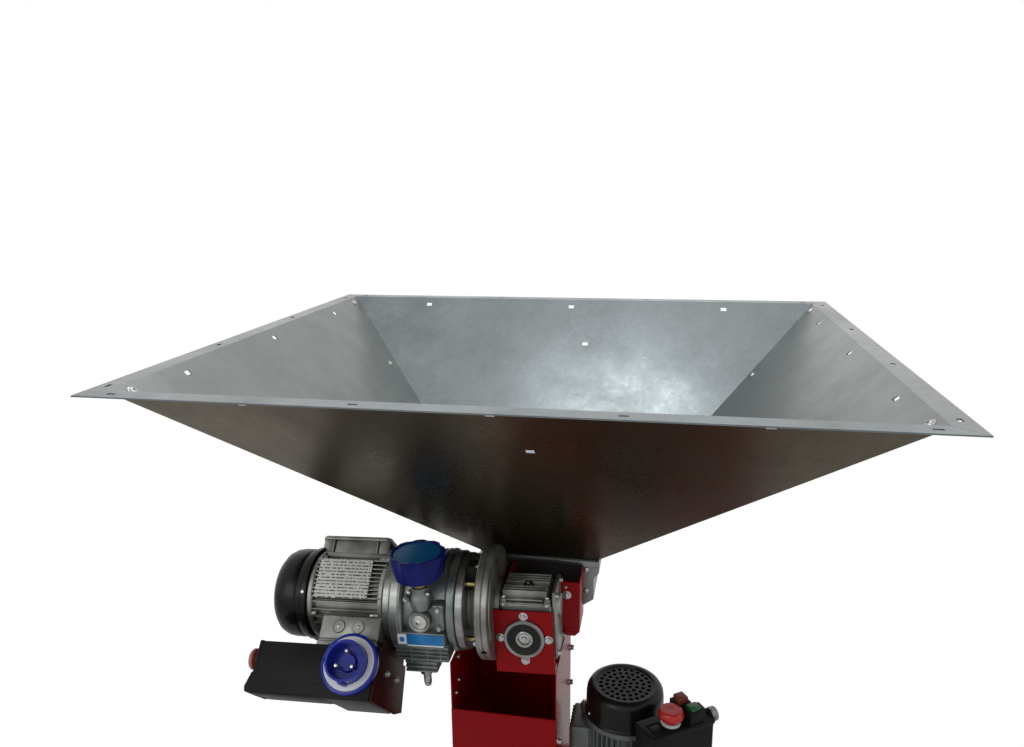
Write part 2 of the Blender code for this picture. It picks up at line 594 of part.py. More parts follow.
def motor_rotor(name, axis, centre, frame_span, shaft_span, radius, shaft_radius, frame):
    core = (frame_span[0] + 0.018, frame_span[1] - 0.018)
    made = rod(name, axis, centre, shaft_span, shaft_radius, STEEL, frame, sides=16)
    fuse(made, rod("core", axis, centre, core, radius * 0.56 - 0.0015, frame=frame))
    return made


def motor_fan(name, axis, centre, span, radius, shaft_radius, frame):
    """A back disc with six straight blades."""
    made = rod(name, axis, centre, (span[0], span[0] + 0.003), radius, BLACK, frame)
    hub = rod("hub", axis, centre, span, 0.016, frame=frame, sides=16)
    tools = [hub]
    for blade in range(3):
        tool = block("blade", (-radius * 0.97, radius * 0.97), (-0.0015, 0.0015), (0.001, span[1] - span[0]),
                     frame=frame)
        place = list(centre)
        place.insert("XYZ".index(axis), span[0])
        tool.matrix_local = Matrix.Translation(place) @ TURNS[axis] @ Matrix.Rotation(math.pi / 3 * blade, 4, "Z")
        tools.append(tool)
    fuse(made, *tools)
    cut(made, rod("bore", axis, centre, (span[0] - 0.01, span[1] + 0.01), shaft_radius + GAP, frame=frame,
                  sides=16))
    return made


def fan_cover(name, axis, centre, span, radius, rings, frame):
    """A turned cap, open at span[0], with rings of round holes in its end."""
    wall = 0.002
    step = 1 if span[1] > span[0] else -1
    end, mouth = span[1], span[0]
    profile = [(0.0, end), (radius * 0.62, end), (radius * 0.90, end - step * 0.010),
               (radius, end - step * 0.026), (radius, mouth), (radius - wall, mouth),
               (radius - wall, end - step * 0.026), (radius * 0.90 - wall, end - step * (0.010 + wall)),
               (radius * 0.62, end - step * wall), (0.0, end - step * wall)]
    if step < 0:
        profile.reverse()
    made = turned(name, axis, centre, profile, BLACK, frame)
    for ring in range(rings + 1):
        for hole in range(max(1, 6 * ring)):
            angle = 2 * math.pi * (hole + 0.37) / max(1, 6 * ring)
            reach = radius * 0.62 * ring / (rings + 0.4)
            spot = (centre[0] + reach * math.cos(angle), centre[1] + reach * math.sin(angle))
            cut(made, rod("hole", axis, spot, tuple(sorted((end - step * 0.008, end + step * 0.004))),
                          radius * 0.055, frame=frame, sides=6))
    return made


def roller_motor():
    foot_x = (MOTOR_X[0] + 0.002, MOTOR_X[1] - 0.027)
    foot_top = MOTOR_RADIUS + 0.022
    shield = rod("shield", "X", MOTOR_LINE, (MOTOR_X[1] - SHIELD, MOTOR_X[1] - GAP), VARIATOR_RADIUS, frame=MOTOR,
                 sides=32)
    foot = block("foot", foot_x, (-0.036, 0.036), (foot_top - 0.008, foot_top), frame=MOTOR)
    ribs = [block("rib", foot_x, (y - 0.003, y + 0.003), (MOTOR_RADIUS - 0.014, foot_top - 0.004), frame=MOTOR)
            for y in (-0.028, 0.028)]
    stator = (MOTOR_X[0], MOTOR_X[1] - SHIELD / 2)
    motor_frame("roller_motor_frame", "X", MOTOR_LINE, stator, MOTOR_RADIUS, MOTOR_SHAFT_RADIUS, MOTOR, CAST,
                (shield, foot, *ribs))
    tail = MOTOR_X[0] - 0.045
    motor_rotor("roller_motor_rotor", "X", MOTOR_LINE, stator, (tail, VARIATOR_X[0] + 0.038), MOTOR_RADIUS,
                MOTOR_SHAFT_RADIUS, MOTOR)
    fan_span = (tail + 0.005, MOTOR_X[0] - 0.014)
    motor_fan("roller_motor_fan", "X", MOTOR_LINE, fan_span, COVER_RADIUS - 0.014, MOTOR_SHAFT_RADIUS, MOTOR)
    mouth = MOTOR_X[0] - GAP
    cover = fan_cover("roller_motor_fan_cover", "X", MOTOR_LINE, (mouth, mouth - COVER_LENGTH), COVER_RADIUS, 1,
                      MOTOR)
    ring = (mouth - 0.010, mouth - GAP)
    seat = rod("seat", "X", MOTOR_LINE, ring, COVER_RADIUS - 0.001, frame=MOTOR)
    cut(seat, rod("seat_bore", "X", MOTOR_LINE, (ring[0] - 0.01, ring[1] + 0.01), MOTOR_RADIUS - 0.010,
                  frame=MOTOR))
    fuse(cover, seat)
    terminal = block("terminal_box", TERMINAL_X, TERMINAL_Y, (TERMINAL_FACE, -0.045), CAST, MOTOR, bevel=0.002)
    cut(terminal, rod("saddle", "X", MOTOR_LINE, (MOTOR_X[0], MOTOR_X[1]), MOTOR_RADIUS + GAP, frame=MOTOR,
                      sides=36))


def plug_and_switch():
    """Switch housing under the terminal box, with the power inlet on its upper front face."""
    top = TERMINAL_FACE - GAP
    z = (top - SWITCH_DEPTH, top)
    body = block("plug_switch_housing", SWITCH_X, SWITCH_Y, z, BLACK, MOTOR, bevel=0.004)
    wall = 0.003
    cut(body, block("hollow", (SWITCH_X[0] + wall, SWITCH_X[1] + 0.01), (SWITCH_Y[0] + wall, SWITCH_Y[1] - wall),
                    (z[0] + wall, z[1] - wall), frame=MOTOR))
    middle = (z[0] + z[1]) / 2
    button = (SWITCH_Y[0] + 0.045, middle + 0.010)
    cut(body, rod("button_hole", "X", button, (SWITCH_X[0] - 0.01, SWITCH_X[0] + 0.01), 0.008 + RUN, frame=MOTOR,
                  sides=16))
    stop = rod("plug_switch_stop_button", "X", button, (SWITCH_X[0] - 0.016, SWITCH_X[0] - 0.006), 0.017,
               BUTTON_RED, MOTOR)
    fuse(stop, rod("stem", "X", button, (SWITCH_X[0] - 0.008, SWITCH_X[0] + 0.006), 0.008, frame=MOTOR, sides=16))
    face = SWITCH_Y[0] - GAP
    inlet = turned("power_inlet", "Y", (INLET_X, INLET_Z),
                   [(INLET_RADIUS, face), (INLET_RADIUS, face - 0.012), (0.036, face - 0.012),
                    (0.036, face - 0.040), (0.031, face - 0.040), (0.031, face - 0.008), (0.0, face - 0.008),
                    (0.0, face)], BLUE, MOTOR, sides=32)
    for turn in (0, 2, 4):
        angle = math.radians(90 + 60 * turn)
        spot = (INLET_X + 0.015 * math.cos(angle), INLET_Z + 0.015 * math.sin(angle))
        fuse(inlet, rod("pin", "Y", spot, (face - 0.034, face - 0.006), 0.0028, frame=MOTOR, sides=12))
    bracket_x = (SWITCH_X[1] + GAP, SWITCH_X[1] + 0.0033)
    outline("switch_bracket", "X",
            [(SWITCH_Y[0], top), (SWITCH_Y[0], z[0]), (0.040, z[0]), (0.077, z[0] + 0.008), (0.061, top)],
            bracket_x, DARK_RED, MOTOR)


def drum_motor():
    centre = (DRUM_X, DRUM_Y)
    foot = DECK_TOP + GAP
    span = (foot + GEAR_HEAD, STAND_MOTOR_TOP - GAP)
    head = rod("gear_head", "Z", centre, (foot, span[0] + 0.001), STAND_COVER_RADIUS - 0.010)
    flange = rod("gear_flange", "Z", centre, (foot, foot + 0.010), STAND_COVER_RADIUS + 0.014)
    stator = motor_frame("drum_motor_frame", "Z", centre, span, STAND_COVER_RADIUS + 0.001, STAND_SHAFT_RADIUS,
                         None, GREY, (head, flange))
    cut(stator, rod("head_bore", "Z", centre, (foot - 0.01, span[0] + 0.002), STAND_SHAFT_RADIUS + RUN, sides=16))
    tail = STAND_MOTOR_TOP + 0.045
    motor_rotor("drum_motor_rotor", "Z", centre, span, (DECK_TOP - 0.045, tail), STAND_COVER_RADIUS,
                STAND_SHAFT_RADIUS, None)
    motor_fan("drum_motor_fan", "Z", centre, (STAND_MOTOR_TOP + 0.014, tail - 0.005), STAND_COVER_RADIUS - 0.012,
              STAND_SHAFT_RADIUS, None)
    cover = fan_cover("drum_motor_fan_cover", "Z", centre, (STAND_MOTOR_TOP, STAND_COVER_TOP), STAND_COVER_RADIUS,
                      1, None)
    ring = (STAND_MOTOR_TOP + GAP, STAND_MOTOR_TOP + 0.010)
    seat = rod("seat", "Z", centre, ring, STAND_COVER_RADIUS - 0.001)
    cut(seat, rod("seat_bore", "Z", centre, (ring[0] - 0.01, ring[1] + 0.01), STAND_COVER_RADIUS - 0.010))
    fuse(cover, seat)


def control_box():
    """Switch box on the drum motor's side, with its buttons on top."""
    wall = 0.003
    body = block("control_box", CONTROL_X, CONTROL_Y, CONTROL_Z, BLACK, CONTROL, bevel=0.004)
    fuse(body, block("neck", (-0.030, 0.030), (CONTROL_Y[1] - 0.010, -0.050),
                     (CONTROL_Z[0] + 0.005, STAND_MOTOR_TOP - 0.004), frame=CONTROL))
    cut(body, rod("saddle", "Z", (0.0, 0.0), (CONTROL_Z[0] - 0.01, CONTROL_Z[1] + 0.01),
                  STAND_COVER_RADIUS + 0.001 + GAP, frame=CONTROL, sides=36),
        block("hollow", (CONTROL_X[0] + wall, CONTROL_X[1] - wall), (CONTROL_Y[0] + wall, CONTROL_Y[1] - wall),
              (CONTROL_Z[0] - 0.01, CONTROL_Z[1] - wall), frame=CONTROL))
    top = CONTROL_Z[1]
    for name, spot, stem, head, rise, finish in (
            ("emergency_stop", (0.012, -0.122), 0.008, 0.020, 0.008, BUTTON_RED),
            ("start_button", (0.060, -0.132), 0.007, 0.010, 0.005, BUTTON_GREEN),
            ("off_button", (0.060, -0.108), 0.007, 0.010, 0.012, BUTTON_RED)):
        cut(body, rod("hole", "Z", spot, (top - 0.01, top + 0.01), stem + RUN, frame=CONTROL, sides=16))
        button = rod(name, "Z", spot, (top + rise, top + rise + 0.012), head, finish, CONTROL)
        fuse(button, rod("stem", "Z", spot, (top - 0.012, top + rise + 0.002), stem, frame=CONTROL, sides=16))


# ---------------------------------------------------------------- drum and stand

UNDER_DECK = DECK_TOP - DECK - GAP
SPOUT_HALF = 0.060
SPOUT_REACH = 0.060
CHUTE_MARGIN = 0.205
CHUTE_OUTLET = (0.045, 0.115)


def deck():
    plate = block("deck_plate", DECK_X, DECK_Y, (DECK_TOP - DECK, DECK_TOP), RED)
    cut(plate, block("feed_hole", DECK_HOLE_X, DECK_HOLE_Y, (DECK_TOP - 0.02, DECK_TOP + 0.02)),
        rod("shaft_hole", "Z", (DRUM_X, DRUM_Y), (DECK_TOP - 0.02, DECK_TOP + 0.02), STAND_SHAFT_RADIUS + 0.004))
    top = UNDER_DECK
    ring = block("deck_frame", DECK_X, DECK_Y, (top - TUBE, top), RED)
    cut(ring, block("opening", (DECK_X[0] + TUBE, DECK_X[1] - TUBE), (DECK_Y[0] + TUBE, DECK_Y[1] - TUBE),
                    (top - 2 * TUBE, top + TUBE)))
    leg_top = top - TUBE - GAP
    for side_y, y in (("front", DECK_Y[0]), ("back", DECK_Y[1] - TUBE)):
        for side_x, x in (("left", DECK_X[0]), ("right", DECK_X[1] - TUBE)):
            leg = block("leg_%s_%s" % (side_y, side_x), (x, x + TUBE), (y, y + TUBE), (0.003, leg_top), RED)
            foot = block("foot_plate", (x - 0.020, x + TUBE + 0.020), (y - 0.020, y + TUBE + 0.020), (0.0, 0.006))
            fuse(leg, foot)


def drum():
    centre = (DRUM_X, DRUM_Y)
    inner = CAGE_RADIUS - 0.013
    floor = JACKET_BOTTOM + 0.003
    jacket = turned("drum_jacket", "Z", centre,
                    [(JACKET_RADIUS, UNDER_DECK), (JACKET_RADIUS, JACKET_BOTTOM), (inner, JACKET_BOTTOM),
                     (inner, floor), (JACKET_RADIUS - SHEET, floor), (JACKET_RADIUS - SHEET, UNDER_DECK)],
                    STAINLESS, sides=36)
    mouth_y = DRUM_Y - JACKET_RADIUS - SPOUT_REACH
    spout_top = floor + SPOUT_HALF
    spout = block("spout", (DRUM_X - SPOUT_HALF - SHEET, DRUM_X + SPOUT_HALF + SHEET),
                  (mouth_y, DRUM_Y - JACKET_RADIUS + 0.012), (JACKET_BOTTOM, spout_top + SHEET))
    way = block("spout_way", (DRUM_X - SPOUT_HALF, DRUM_X + SPOUT_HALF),
                (mouth_y - 0.01, DRUM_Y - CAGE_RADIUS - 0.004), (floor, spout_top))
    fuse(jacket, spout)
    cut(jacket, way)
    cage = turned("destemming_cage", "Z", centre,
                  [(CAGE_RADIUS, UNDER_DECK), (CAGE_RADIUS, floor + GAP), (CAGE_RADIUS - SHEET, floor + GAP),
                   (CAGE_RADIUS - SHEET, UNDER_DECK)], STAINLESS, sides=36)
    band = 0.020
    pitch = (UNDER_DECK - floor - band) / WINDOW_ROWS
    for row in range(WINDOW_ROWS):
        for angle in (0.0, math.pi / 2):
            low = floor + band + pitch * row
            slot = block("window", (-0.25, 0.25), (-0.014, 0.014), (low, low + pitch - band))
            slot.matrix_local = Matrix.Translation((DRUM_X, DRUM_Y, 0.0)) @ Matrix.Rotation(angle, 4, "Z")
            cut(cage, slot)
    journal = 0.010
    spider_z = (floor + 0.004, floor + 0.022)
    half_width = 0.015
    half_length = math.sqrt((CAGE_RADIUS - SHEET - GAP) ** 2 - half_width ** 2) - 0.0008
    spider = block("foot_bearing", (DRUM_X - half_width, DRUM_X + half_width),
                   (DRUM_Y - half_length, DRUM_Y + half_length), spider_z, STAINLESS)
    fuse(spider, rod("boss", "Z", centre, spider_z, 0.022))
    cut(spider, rod("bore", "Z", centre, (spider_z[0] - 0.01, spider_z[1] + 0.01), journal + RUN))
    beater_shaft(centre, journal, spider_z)
    stem_chute()


def beater_shaft(centre, journal, spider_z):
    """Beater shaft: a coupling on the motor's shaft, arms set along a helix, a journal at its foot."""
    hub_top = UNDER_DECK - 0.003
    hub = (hub_top - 0.050, hub_top)
    shaft = rod("beater_shaft", "Z", centre, (spider_z[1] + 0.002, hub[0] + 0.005), 0.016, STAINLESS)
    tools = [rod("journal", "Z", centre, (spider_z[0] + 0.002, spider_z[1] + 0.010), journal),
             rod("coupling", "Z", centre, hub, 0.024)]
    pitch = (hub[0] - 0.020 - spider_z[1] - 0.020) / BEATERS
    for arm in range(BEATERS):
        low = spider_z[1] + 0.020 + pitch * arm
        turn = Matrix.Translation((DRUM_X, DRUM_Y, 0.0)) @ Matrix.Rotation(math.pi * arm / BEATERS, 4, "Z")
        bar = block("arm", (-BEATER_REACH, BEATER_REACH), (-0.005, 0.005), (low, low + 0.022))
        bar.matrix_local = turn
        tools.append(bar)
        for side in (-1, 1):
            x = tuple(sorted((side * (BEATER_REACH - 0.030), side * (BEATER_REACH - 0.001))))
            paddle = block("paddle", x, (-0.0062, 0.0062), (low - 0.006, low + 0.030))
            paddle.matrix_local = turn
            tools.append(paddle)
    fuse(shaft, *tools)
    cut(shaft, rod("bore", "Z", centre, (DECK_TOP - 0.047, hub_top + 0.01), STAND_SHAFT_RADIUS + GAP, sides=16))


def stem_chute():
    """Sloping trough under the drum: stems fall in at its open top and leave at its right end."""
    left, right = DRUM_X - CHUTE_MARGIN, DECK_X[1] - 0.012
    top = JACKET_BOTTOM - GAP
    y = (DRUM_Y - CHUTE_MARGIN, DRUM_Y + CHUTE_MARGIN)
    body = outline("stem_chute", "Y", [(left, top), (left, CHUTE_OUTLET[1]), (right, CHUTE_OUTLET[0]), (right, top)],
                   y, STAINLESS)
    inner_y = (y[0] + SHEET, y[1] - SHEET)
    cut(body, outline("hollow", "Y",
                      [(left + SHEET, top + 0.05), (left + SHEET, CHUTE_OUTLET[1] + SHEET),
                       (right + 0.05, CHUTE_OUTLET[0] - 0.004), (right + 0.05, top - SHEET),
                       (DRUM_X + CHUTE_MARGIN, top - SHEET), (DRUM_X + CHUTE_MARGIN, top + 0.05)], inner_y))


hopper()
crusher_box()
rollers()
column()
gearbox_bracket()
worm_gearbox()
worm()
variator()
roller_motor()
plug_and_switch()
drum_motor()
control_box()
deck()
drum()
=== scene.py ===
"""Looks of the grape crusher destemmer: hopper, roller drive, column, drum motor and stand."""
import json
import math

import bmesh
import bpy
from mathutils import Matrix, Vector


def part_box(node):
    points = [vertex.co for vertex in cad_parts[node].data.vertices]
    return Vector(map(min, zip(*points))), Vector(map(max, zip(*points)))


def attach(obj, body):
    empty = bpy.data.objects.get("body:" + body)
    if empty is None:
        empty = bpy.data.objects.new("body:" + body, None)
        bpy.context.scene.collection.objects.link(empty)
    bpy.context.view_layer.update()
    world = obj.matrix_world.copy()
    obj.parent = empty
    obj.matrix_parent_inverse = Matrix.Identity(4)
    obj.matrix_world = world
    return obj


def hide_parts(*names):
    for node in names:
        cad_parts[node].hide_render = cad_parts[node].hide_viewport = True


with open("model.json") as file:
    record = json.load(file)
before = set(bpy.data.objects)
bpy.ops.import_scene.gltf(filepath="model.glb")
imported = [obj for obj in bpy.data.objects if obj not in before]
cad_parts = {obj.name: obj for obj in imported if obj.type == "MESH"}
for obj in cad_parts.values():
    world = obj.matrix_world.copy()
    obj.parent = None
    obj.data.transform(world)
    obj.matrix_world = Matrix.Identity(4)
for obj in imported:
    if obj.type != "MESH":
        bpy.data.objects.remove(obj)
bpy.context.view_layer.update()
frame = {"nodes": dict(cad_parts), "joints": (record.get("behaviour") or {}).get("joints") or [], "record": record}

JOINTS = {joint["name"]: joint for joint in frame["joints"]}

# ---------------------------------------------------------------- frames

WORM_OFFSET = 0.04           # worm above the driven roller's axis
MOTOR_TURN = math.radians(-45)
CONTROL_TURN = math.radians(35)

WORLD = Matrix.Identity(4)
ALONG = Vector(JOINTS["roller_motor_spin"]["axis"]).normalized()
ACROSS = Vector((0.0, 1.0, 0.0))
UPWARDS = ALONG.cross(ACROSS)
GEAR_CENTRE = Vector(JOINTS["worm_spin"]["pos_m"]) - WORM_OFFSET * UPWARDS
DRIVE = Matrix((ALONG, ACROSS, UPWARDS)).transposed().to_4x4()
DRIVE.translation = GEAR_CENTRE
MOTOR = DRIVE @ Matrix.Translation((0.0, 0.0, WORM_OFFSET)) @ Matrix.Rotation(MOTOR_TURN, 4, "X")
DRUM_AXIS = Vector(JOINTS["drum_spin"]["pos_m"])
DRUM = Matrix.Translation((DRUM_AXIS.x, DRUM_AXIS.y, 0.0))
CONTROL = DRUM @ Matrix.Rotation(CONTROL_TURN, 4, "Z")

MIDDLE = (0.0, 0.0)           # on the axis itself

# A shape is drawn with its length along Z, then laid along one of these.
LAID = {"X": Matrix(((0, 0, 1, 0), (1, 0, 0, 0), (0, 1, 0, 0), (0, 0, 0, 1))),
        "Y": Matrix(((1, 0, 0, 0), (0, 0, 1, 0), (0, 1, 0, 0), (0, 0, 0, 1))),
        "Z": WORLD}


def reach(node, place=WORLD):
    """Lowest and highest corner of a node, in the frame place."""
    back = place.inverted()
    spots = [back @ vert.co for vert in frame["nodes"][node].data.vertices]
    low = Vector(min(spot[side] for spot in spots) for side in range(3))
    high = Vector(max(spot[side] for spot in spots) for side in range(3))
    return low, high


# ---------------------------------------------------------------- materials

PLAIN = (1.0, 1.0, 1.0)     # the same grain in every direction


def feed(tree, node, inputs):
    """Give a node's sockets, by name or number, their values or the sockets that feed them."""
    for socket, value in inputs.items():
        if isinstance(value, bpy.types.NodeSocket):
            tree.links.new(value, node.inputs[socket])
        else:
            node.inputs[socket].default_value = value
    return node


def wired(tree, kind, inputs, **settings):
    """A new node with its settings and inputs."""
    node = tree.nodes.new("ShaderNode" + kind)
    for setting, value in settings.items():
        setattr(node, setting, value)
    return feed(tree, node, inputs)


def counted(tree, operation, first, second):
    """The result of one Math node."""
    return wired(tree, "Math", {0: first, 1: second}, operation=operation).outputs["Value"]


def shades(tree, share, colours, ends):
    """A fade between two colours, from one share to another."""
    ramp = wired(tree, "ValToRGB", {"Fac": share})
    for stop, colour, end in zip(ramp.color_ramp.elements, colours, ends):
        stop.position = end
        stop.color = (*colour, 1.0)
    return ramp.outputs["Color"]


def blend_of(tree, share, first, second):
    """A colour between two others, by a share."""
    return wired(tree, "Mix", {0: share, 6: first, 7: second}, data_type="RGBA").outputs[2]


def blank(name):
    """A new material, its node tree and its shader."""
    made_of = bpy.data.materials.new(name)
    made_of.use_nodes = True
    return made_of, made_of.node_tree, made_of.node_tree.nodes["Principled BSDF"]


def finish(name, colours, rough, metallic=0.0, patch=8.0, grain=300.0, bump=0.02, coat=0.0,
           streak=PLAIN, gloss=0.5):
    """A paint, metal or plastic: soft patches of two colours, and a grain in roughness and surface."""
    made_of, tree, shader = blank(name)
    spots = wired(tree, "TexCoord", {}).outputs["Object"]
    spread = wired(tree, "Mapping", {"Vector": spots, "Scale": streak}).outputs["Vector"]
    patches = wired(tree, "TexNoise", {"Vector": spread, "Scale": patch, "Detail": 6.0}).outputs["Fac"]
    fine = wired(tree, "TexNoise", {"Vector": spread, "Scale": grain, "Detail": 3.0}).outputs["Fac"]
    shine = wired(tree, "MapRange", {"Value": fine, "To Min": rough[0], "To Max": rough[1]})
    relief = wired(tree, "Bump", {"Height": fine, "Strength": bump, "Distance": 0.001})
    feed(tree, shader, {"Base Color": shades(tree, patches, colours, (0.35, 0.68)), "Metallic": metallic,
                        "Roughness": shine.outputs["Result"], "Normal": relief.outputs["Normal"],
                        "Coat Weight": coat, "Coat Roughness": 0.08, "Specular IOR Level": gloss})
    return made_of


def galvanised(name, inside, downward_reflection, spangle):
    """Hot-dip zinc: spangles and dull clouds on the face that looks up; the face that looks down is browner, a
    painted reflection of the dark surroundings.
    """
    made_of, tree, shader = blank(name)
    spots = wired(tree, "TexCoord", {}).outputs["Object"]
    crystals = wired(tree, "TexVoronoi", {"Vector": spots, "Scale": 120.0}).outputs["Color"]
    clouds = wired(tree, "TexNoise", {"Vector": spots, "Scale": 9.0, "Detail": 8.0, "Roughness": 0.62})
    mottle = blend_of(tree, spangle, clouds.outputs["Fac"], crystals)
    grey = wired(tree, "RGBToBW", {"Color": mottle}).outputs["Val"]
    fades = [shades(tree, grey, colours, (0.3, 0.72)) for colours in (inside, downward_reflection)]
    facing = wired(tree, "NewGeometry", {}).outputs["True Normal"]
    upwards = wired(tree, "SeparateXYZ", {"Vector": facing}).outputs["Z"]
    # Faces that look down take the dark brown colours: a painted reflection of the dark surroundings.
    under = counted(tree, "LESS_THAN", upwards, -0.05)
    dull = wired(tree, "MapRange", {"Value": grey, "From Min": 0.3, "From Max": 0.7, "To Min": 0.36,
                                    "To Max": 0.24})
    relief = wired(tree, "Bump", {"Height": grey, "Strength": 0.01, "Distance": 0.001})
    feed(tree, shader, {"Base Color": blend_of(tree, under, *fades), "Metallic": 0.92,
                        "Roughness": dull.outputs["Result"], "Normal": relief.outputs["Normal"]})
    return made_of


def ruled_plate(name, ground, ink, rows):
    """A printed metal plate: rows of broken strokes that hold no words."""
    made_of = finish(name, (ground, ground), (0.3, 0.42), 0.55, 12.0, 500.0, 0.01)
    tree = made_of.node_tree
    stroke_share, stroke_length, row_shift, gap_share = 0.42, 26.0, 7.3, 0.46
    spots = wired(tree, "UVMap", {}, uv_map="flat").outputs["UV"]
    parts = wired(tree, "SeparateXYZ", {"Vector": spots}).outputs
    row = counted(tree, "MULTIPLY", parts["Y"], rows)
    stroke = counted(tree, "LESS_THAN", counted(tree, "FRACT", row, 0.0), stroke_share)
    number = counted(tree, "FLOOR", row, 0.0)
    along = wired(tree, "CombineXYZ", {"X": counted(tree, "MULTIPLY", parts["X"], stroke_length),
                                       "Y": counted(tree, "MULTIPLY", number, row_shift)}).outputs["Vector"]
    breaks = wired(tree, "TexNoise", {"Vector": along, "Scale": 1.0, "Detail": 2.0}).outputs["Fac"]
    filled = counted(tree, "GREATER_THAN", breaks, gap_share)
    tone = blend_of(tree, counted(tree, "MULTIPLY", stroke, filled), (*ground, 1.0), (*ink, 1.0))
    feed(tree, tree.nodes["Principled BSDF"], {"Base Color": tone})
    return made_of


# The second colour pair of each galvanised sheet is dark brown: a painted reflection on the faces that look down.
ZINC_MAIN = galvanised("galvanised_sheet", ((0.155, 0.175, 0.182), (0.24, 0.27, 0.28)),
                       ((0.072, 0.056, 0.034), (0.12, 0.096, 0.06)), 0.13)
ZINC_SIDE = galvanised("galvanised_sheet_dull",
                       ((0.185, 0.198, 0.19), (0.25, 0.265, 0.255)),
                       ((0.08, 0.066, 0.045), (0.125, 0.106, 0.075)), 0.09)
RED = finish("red_enamel", ((0.205, 0.0012, 0.003), (0.265, 0.0016, 0.0042)), (0.22, 0.34),
             patch=5.0, grain=240.0, bump=0.008, gloss=0.11)
# Near-black red: the machine's red paint darkened as painted shade, for red parts seen in shade.
SHADED_RED = finish("red_enamel_painted_shade", ((0.016, 0.0022, 0.0022), (0.028, 0.0035, 0.0032)),
                  (0.34, 0.48), patch=6.0, grain=240.0, bump=0.01, gloss=0.12)
CAST = finish("aluminium_casting", ((0.15, 0.154, 0.138), (0.33, 0.335, 0.31)),
              (0.34, 0.52), metallic=0.8, patch=22.0, grain=900.0, bump=0.25)
CAST_BRIGHT = finish("machined_aluminium", ((0.19, 0.195, 0.185), (0.34, 0.345, 0.33)),
                     (0.24, 0.38), metallic=0.88, patch=14.0, grain=700.0, bump=0.06, streak=(1.0, 1.0, 6.0))
CAST_GREY = finish("grey_cast_aluminium", ((0.095, 0.115, 0.112), (0.25, 0.27, 0.265)),
                   (0.24, 0.44), metallic=0.62, patch=26.0, grain=650.0, bump=0.35, coat=0.1, gloss=0.35)
FRAME_GREY = finish("grey_machine_paint", ((0.07, 0.08, 0.078), (0.16, 0.175, 0.17)),
                    (0.34, 0.5), metallic=0.3, patch=12.0, grain=500.0, bump=0.15, gloss=0.3)
STEEL = finish("turned_steel", ((0.24, 0.24, 0.235), (0.4, 0.4, 0.39)), (0.2, 0.36),
               metallic=0.95, patch=30.0, grain=600.0, bump=0.05, streak=(1.0, 1.0, 12.0))
ZINC_BOLT = finish("zinc_plated_bolts", ((0.34, 0.345, 0.335), (0.58, 0.585, 0.57)),
                   (0.16, 0.3), metallic=0.95, patch=80.0, grain=900.0, bump=0.04)
YELLOW_ZINC = finish("yellow_zinc_plating", ((0.22, 0.17, 0.075), (0.38, 0.31, 0.15)),
                     (0.2, 0.34), metallic=0.9, patch=90.0, grain=900.0, bump=0.04)
BRONZE = finish("turned_bronze", ((0.16, 0.095, 0.03), (0.3, 0.19, 0.065)), (0.22, 0.38),
                metallic=0.9, patch=60.0, grain=700.0, bump=0.05)
STAINLESS = finish("brushed_stainless", ((0.4, 0.4, 0.39), (0.52, 0.52, 0.5)),
                   (0.22, 0.36), metallic=0.95, patch=10.0, grain=160.0, bump=0.04, streak=(1.0, 1.0, 18.0))
BLACK = finish("black_moulding", ((0.006, 0.006, 0.0062), (0.013, 0.0128, 0.0126)),
               (0.36, 0.5), patch=9.0, grain=900.0, bump=0.08, gloss=0.1)
BLACK_GLOSS = finish("black_lacquer", ((0.0045, 0.0042, 0.0038), (0.011, 0.0095, 0.008)),
                     (0.2, 0.32), patch=7.0, bump=0.006, coat=0.05, gloss=0.16)
# Near-black matt finish for blocks that stand in hollows: painted shade.
HOLLOW_PAINTED_SHADE = finish("hollow_painted_shade", ((0.002, 0.002, 0.002), (0.004, 0.004, 0.004)),
                     (0.7, 0.9), patch=9.0, bump=0.0, gloss=0.05)
RUBBER = finish("black_rubber", ((0.008, 0.009, 0.008), (0.016, 0.017, 0.015)), (0.45, 0.62),
                patch=30.0, grain=900.0, bump=0.1, gloss=0.2)
BLUE = finish("blue_moulding", ((0.0035, 0.013, 0.235), (0.006, 0.024, 0.34)), (0.14, 0.24),
              patch=9.0, grain=400.0, coat=0.15, gloss=0.25)
NAVY = finish("dark_blue_moulding", ((0.0018, 0.005, 0.09), (0.0028, 0.0085, 0.14)),
              (0.26, 0.38), patch=14.0, grain=600.0, bump=0.06, gloss=0.16)
CAP_BLUE = finish("light_blue_cap", ((0.0025, 0.08, 0.21), (0.006, 0.12, 0.29)), (0.3, 0.42),
                  patch=12.0, grain=500.0, bump=0.03, gloss=0.15)
WHITE_RING = finish("pale_ring", ((0.56, 0.57, 0.6), (0.7, 0.71, 0.74)), (0.3, 0.42),
                    patch=30.0, grain=500.0)
BUTTON_RED = finish("red_moulding", ((0.36, 0.01, 0.008), (0.46, 0.016, 0.012)), (0.16, 0.28),
                    patch=20.0, grain=500.0, coat=0.1, gloss=0.3)
BUTTON_PINK = finish("faded_red_moulding", ((0.42, 0.11, 0.085), (0.54, 0.165, 0.13)),
                     (0.32, 0.44), patch=40.0, grain=500.0, bump=0.05, gloss=0.25)
BUTTON_GREEN = finish("green_moulding", ((0.012, 0.075, 0.022), (0.022, 0.12, 0.034)),
                      (0.2, 0.32), patch=30.0, grain=500.0, coat=0.1, gloss=0.25)
BROWN_RED = finish("brown_red_moulding", ((0.13, 0.026, 0.018), (0.22, 0.052, 0.038)),
                   (0.32, 0.46), patch=45.0, grain=500.0, bump=0.05, gloss=0.2)
RATING = ruled_plate("rating_plate", (0.5, 0.51, 0.49), (0.1, 0.1, 0.095), 13.0)
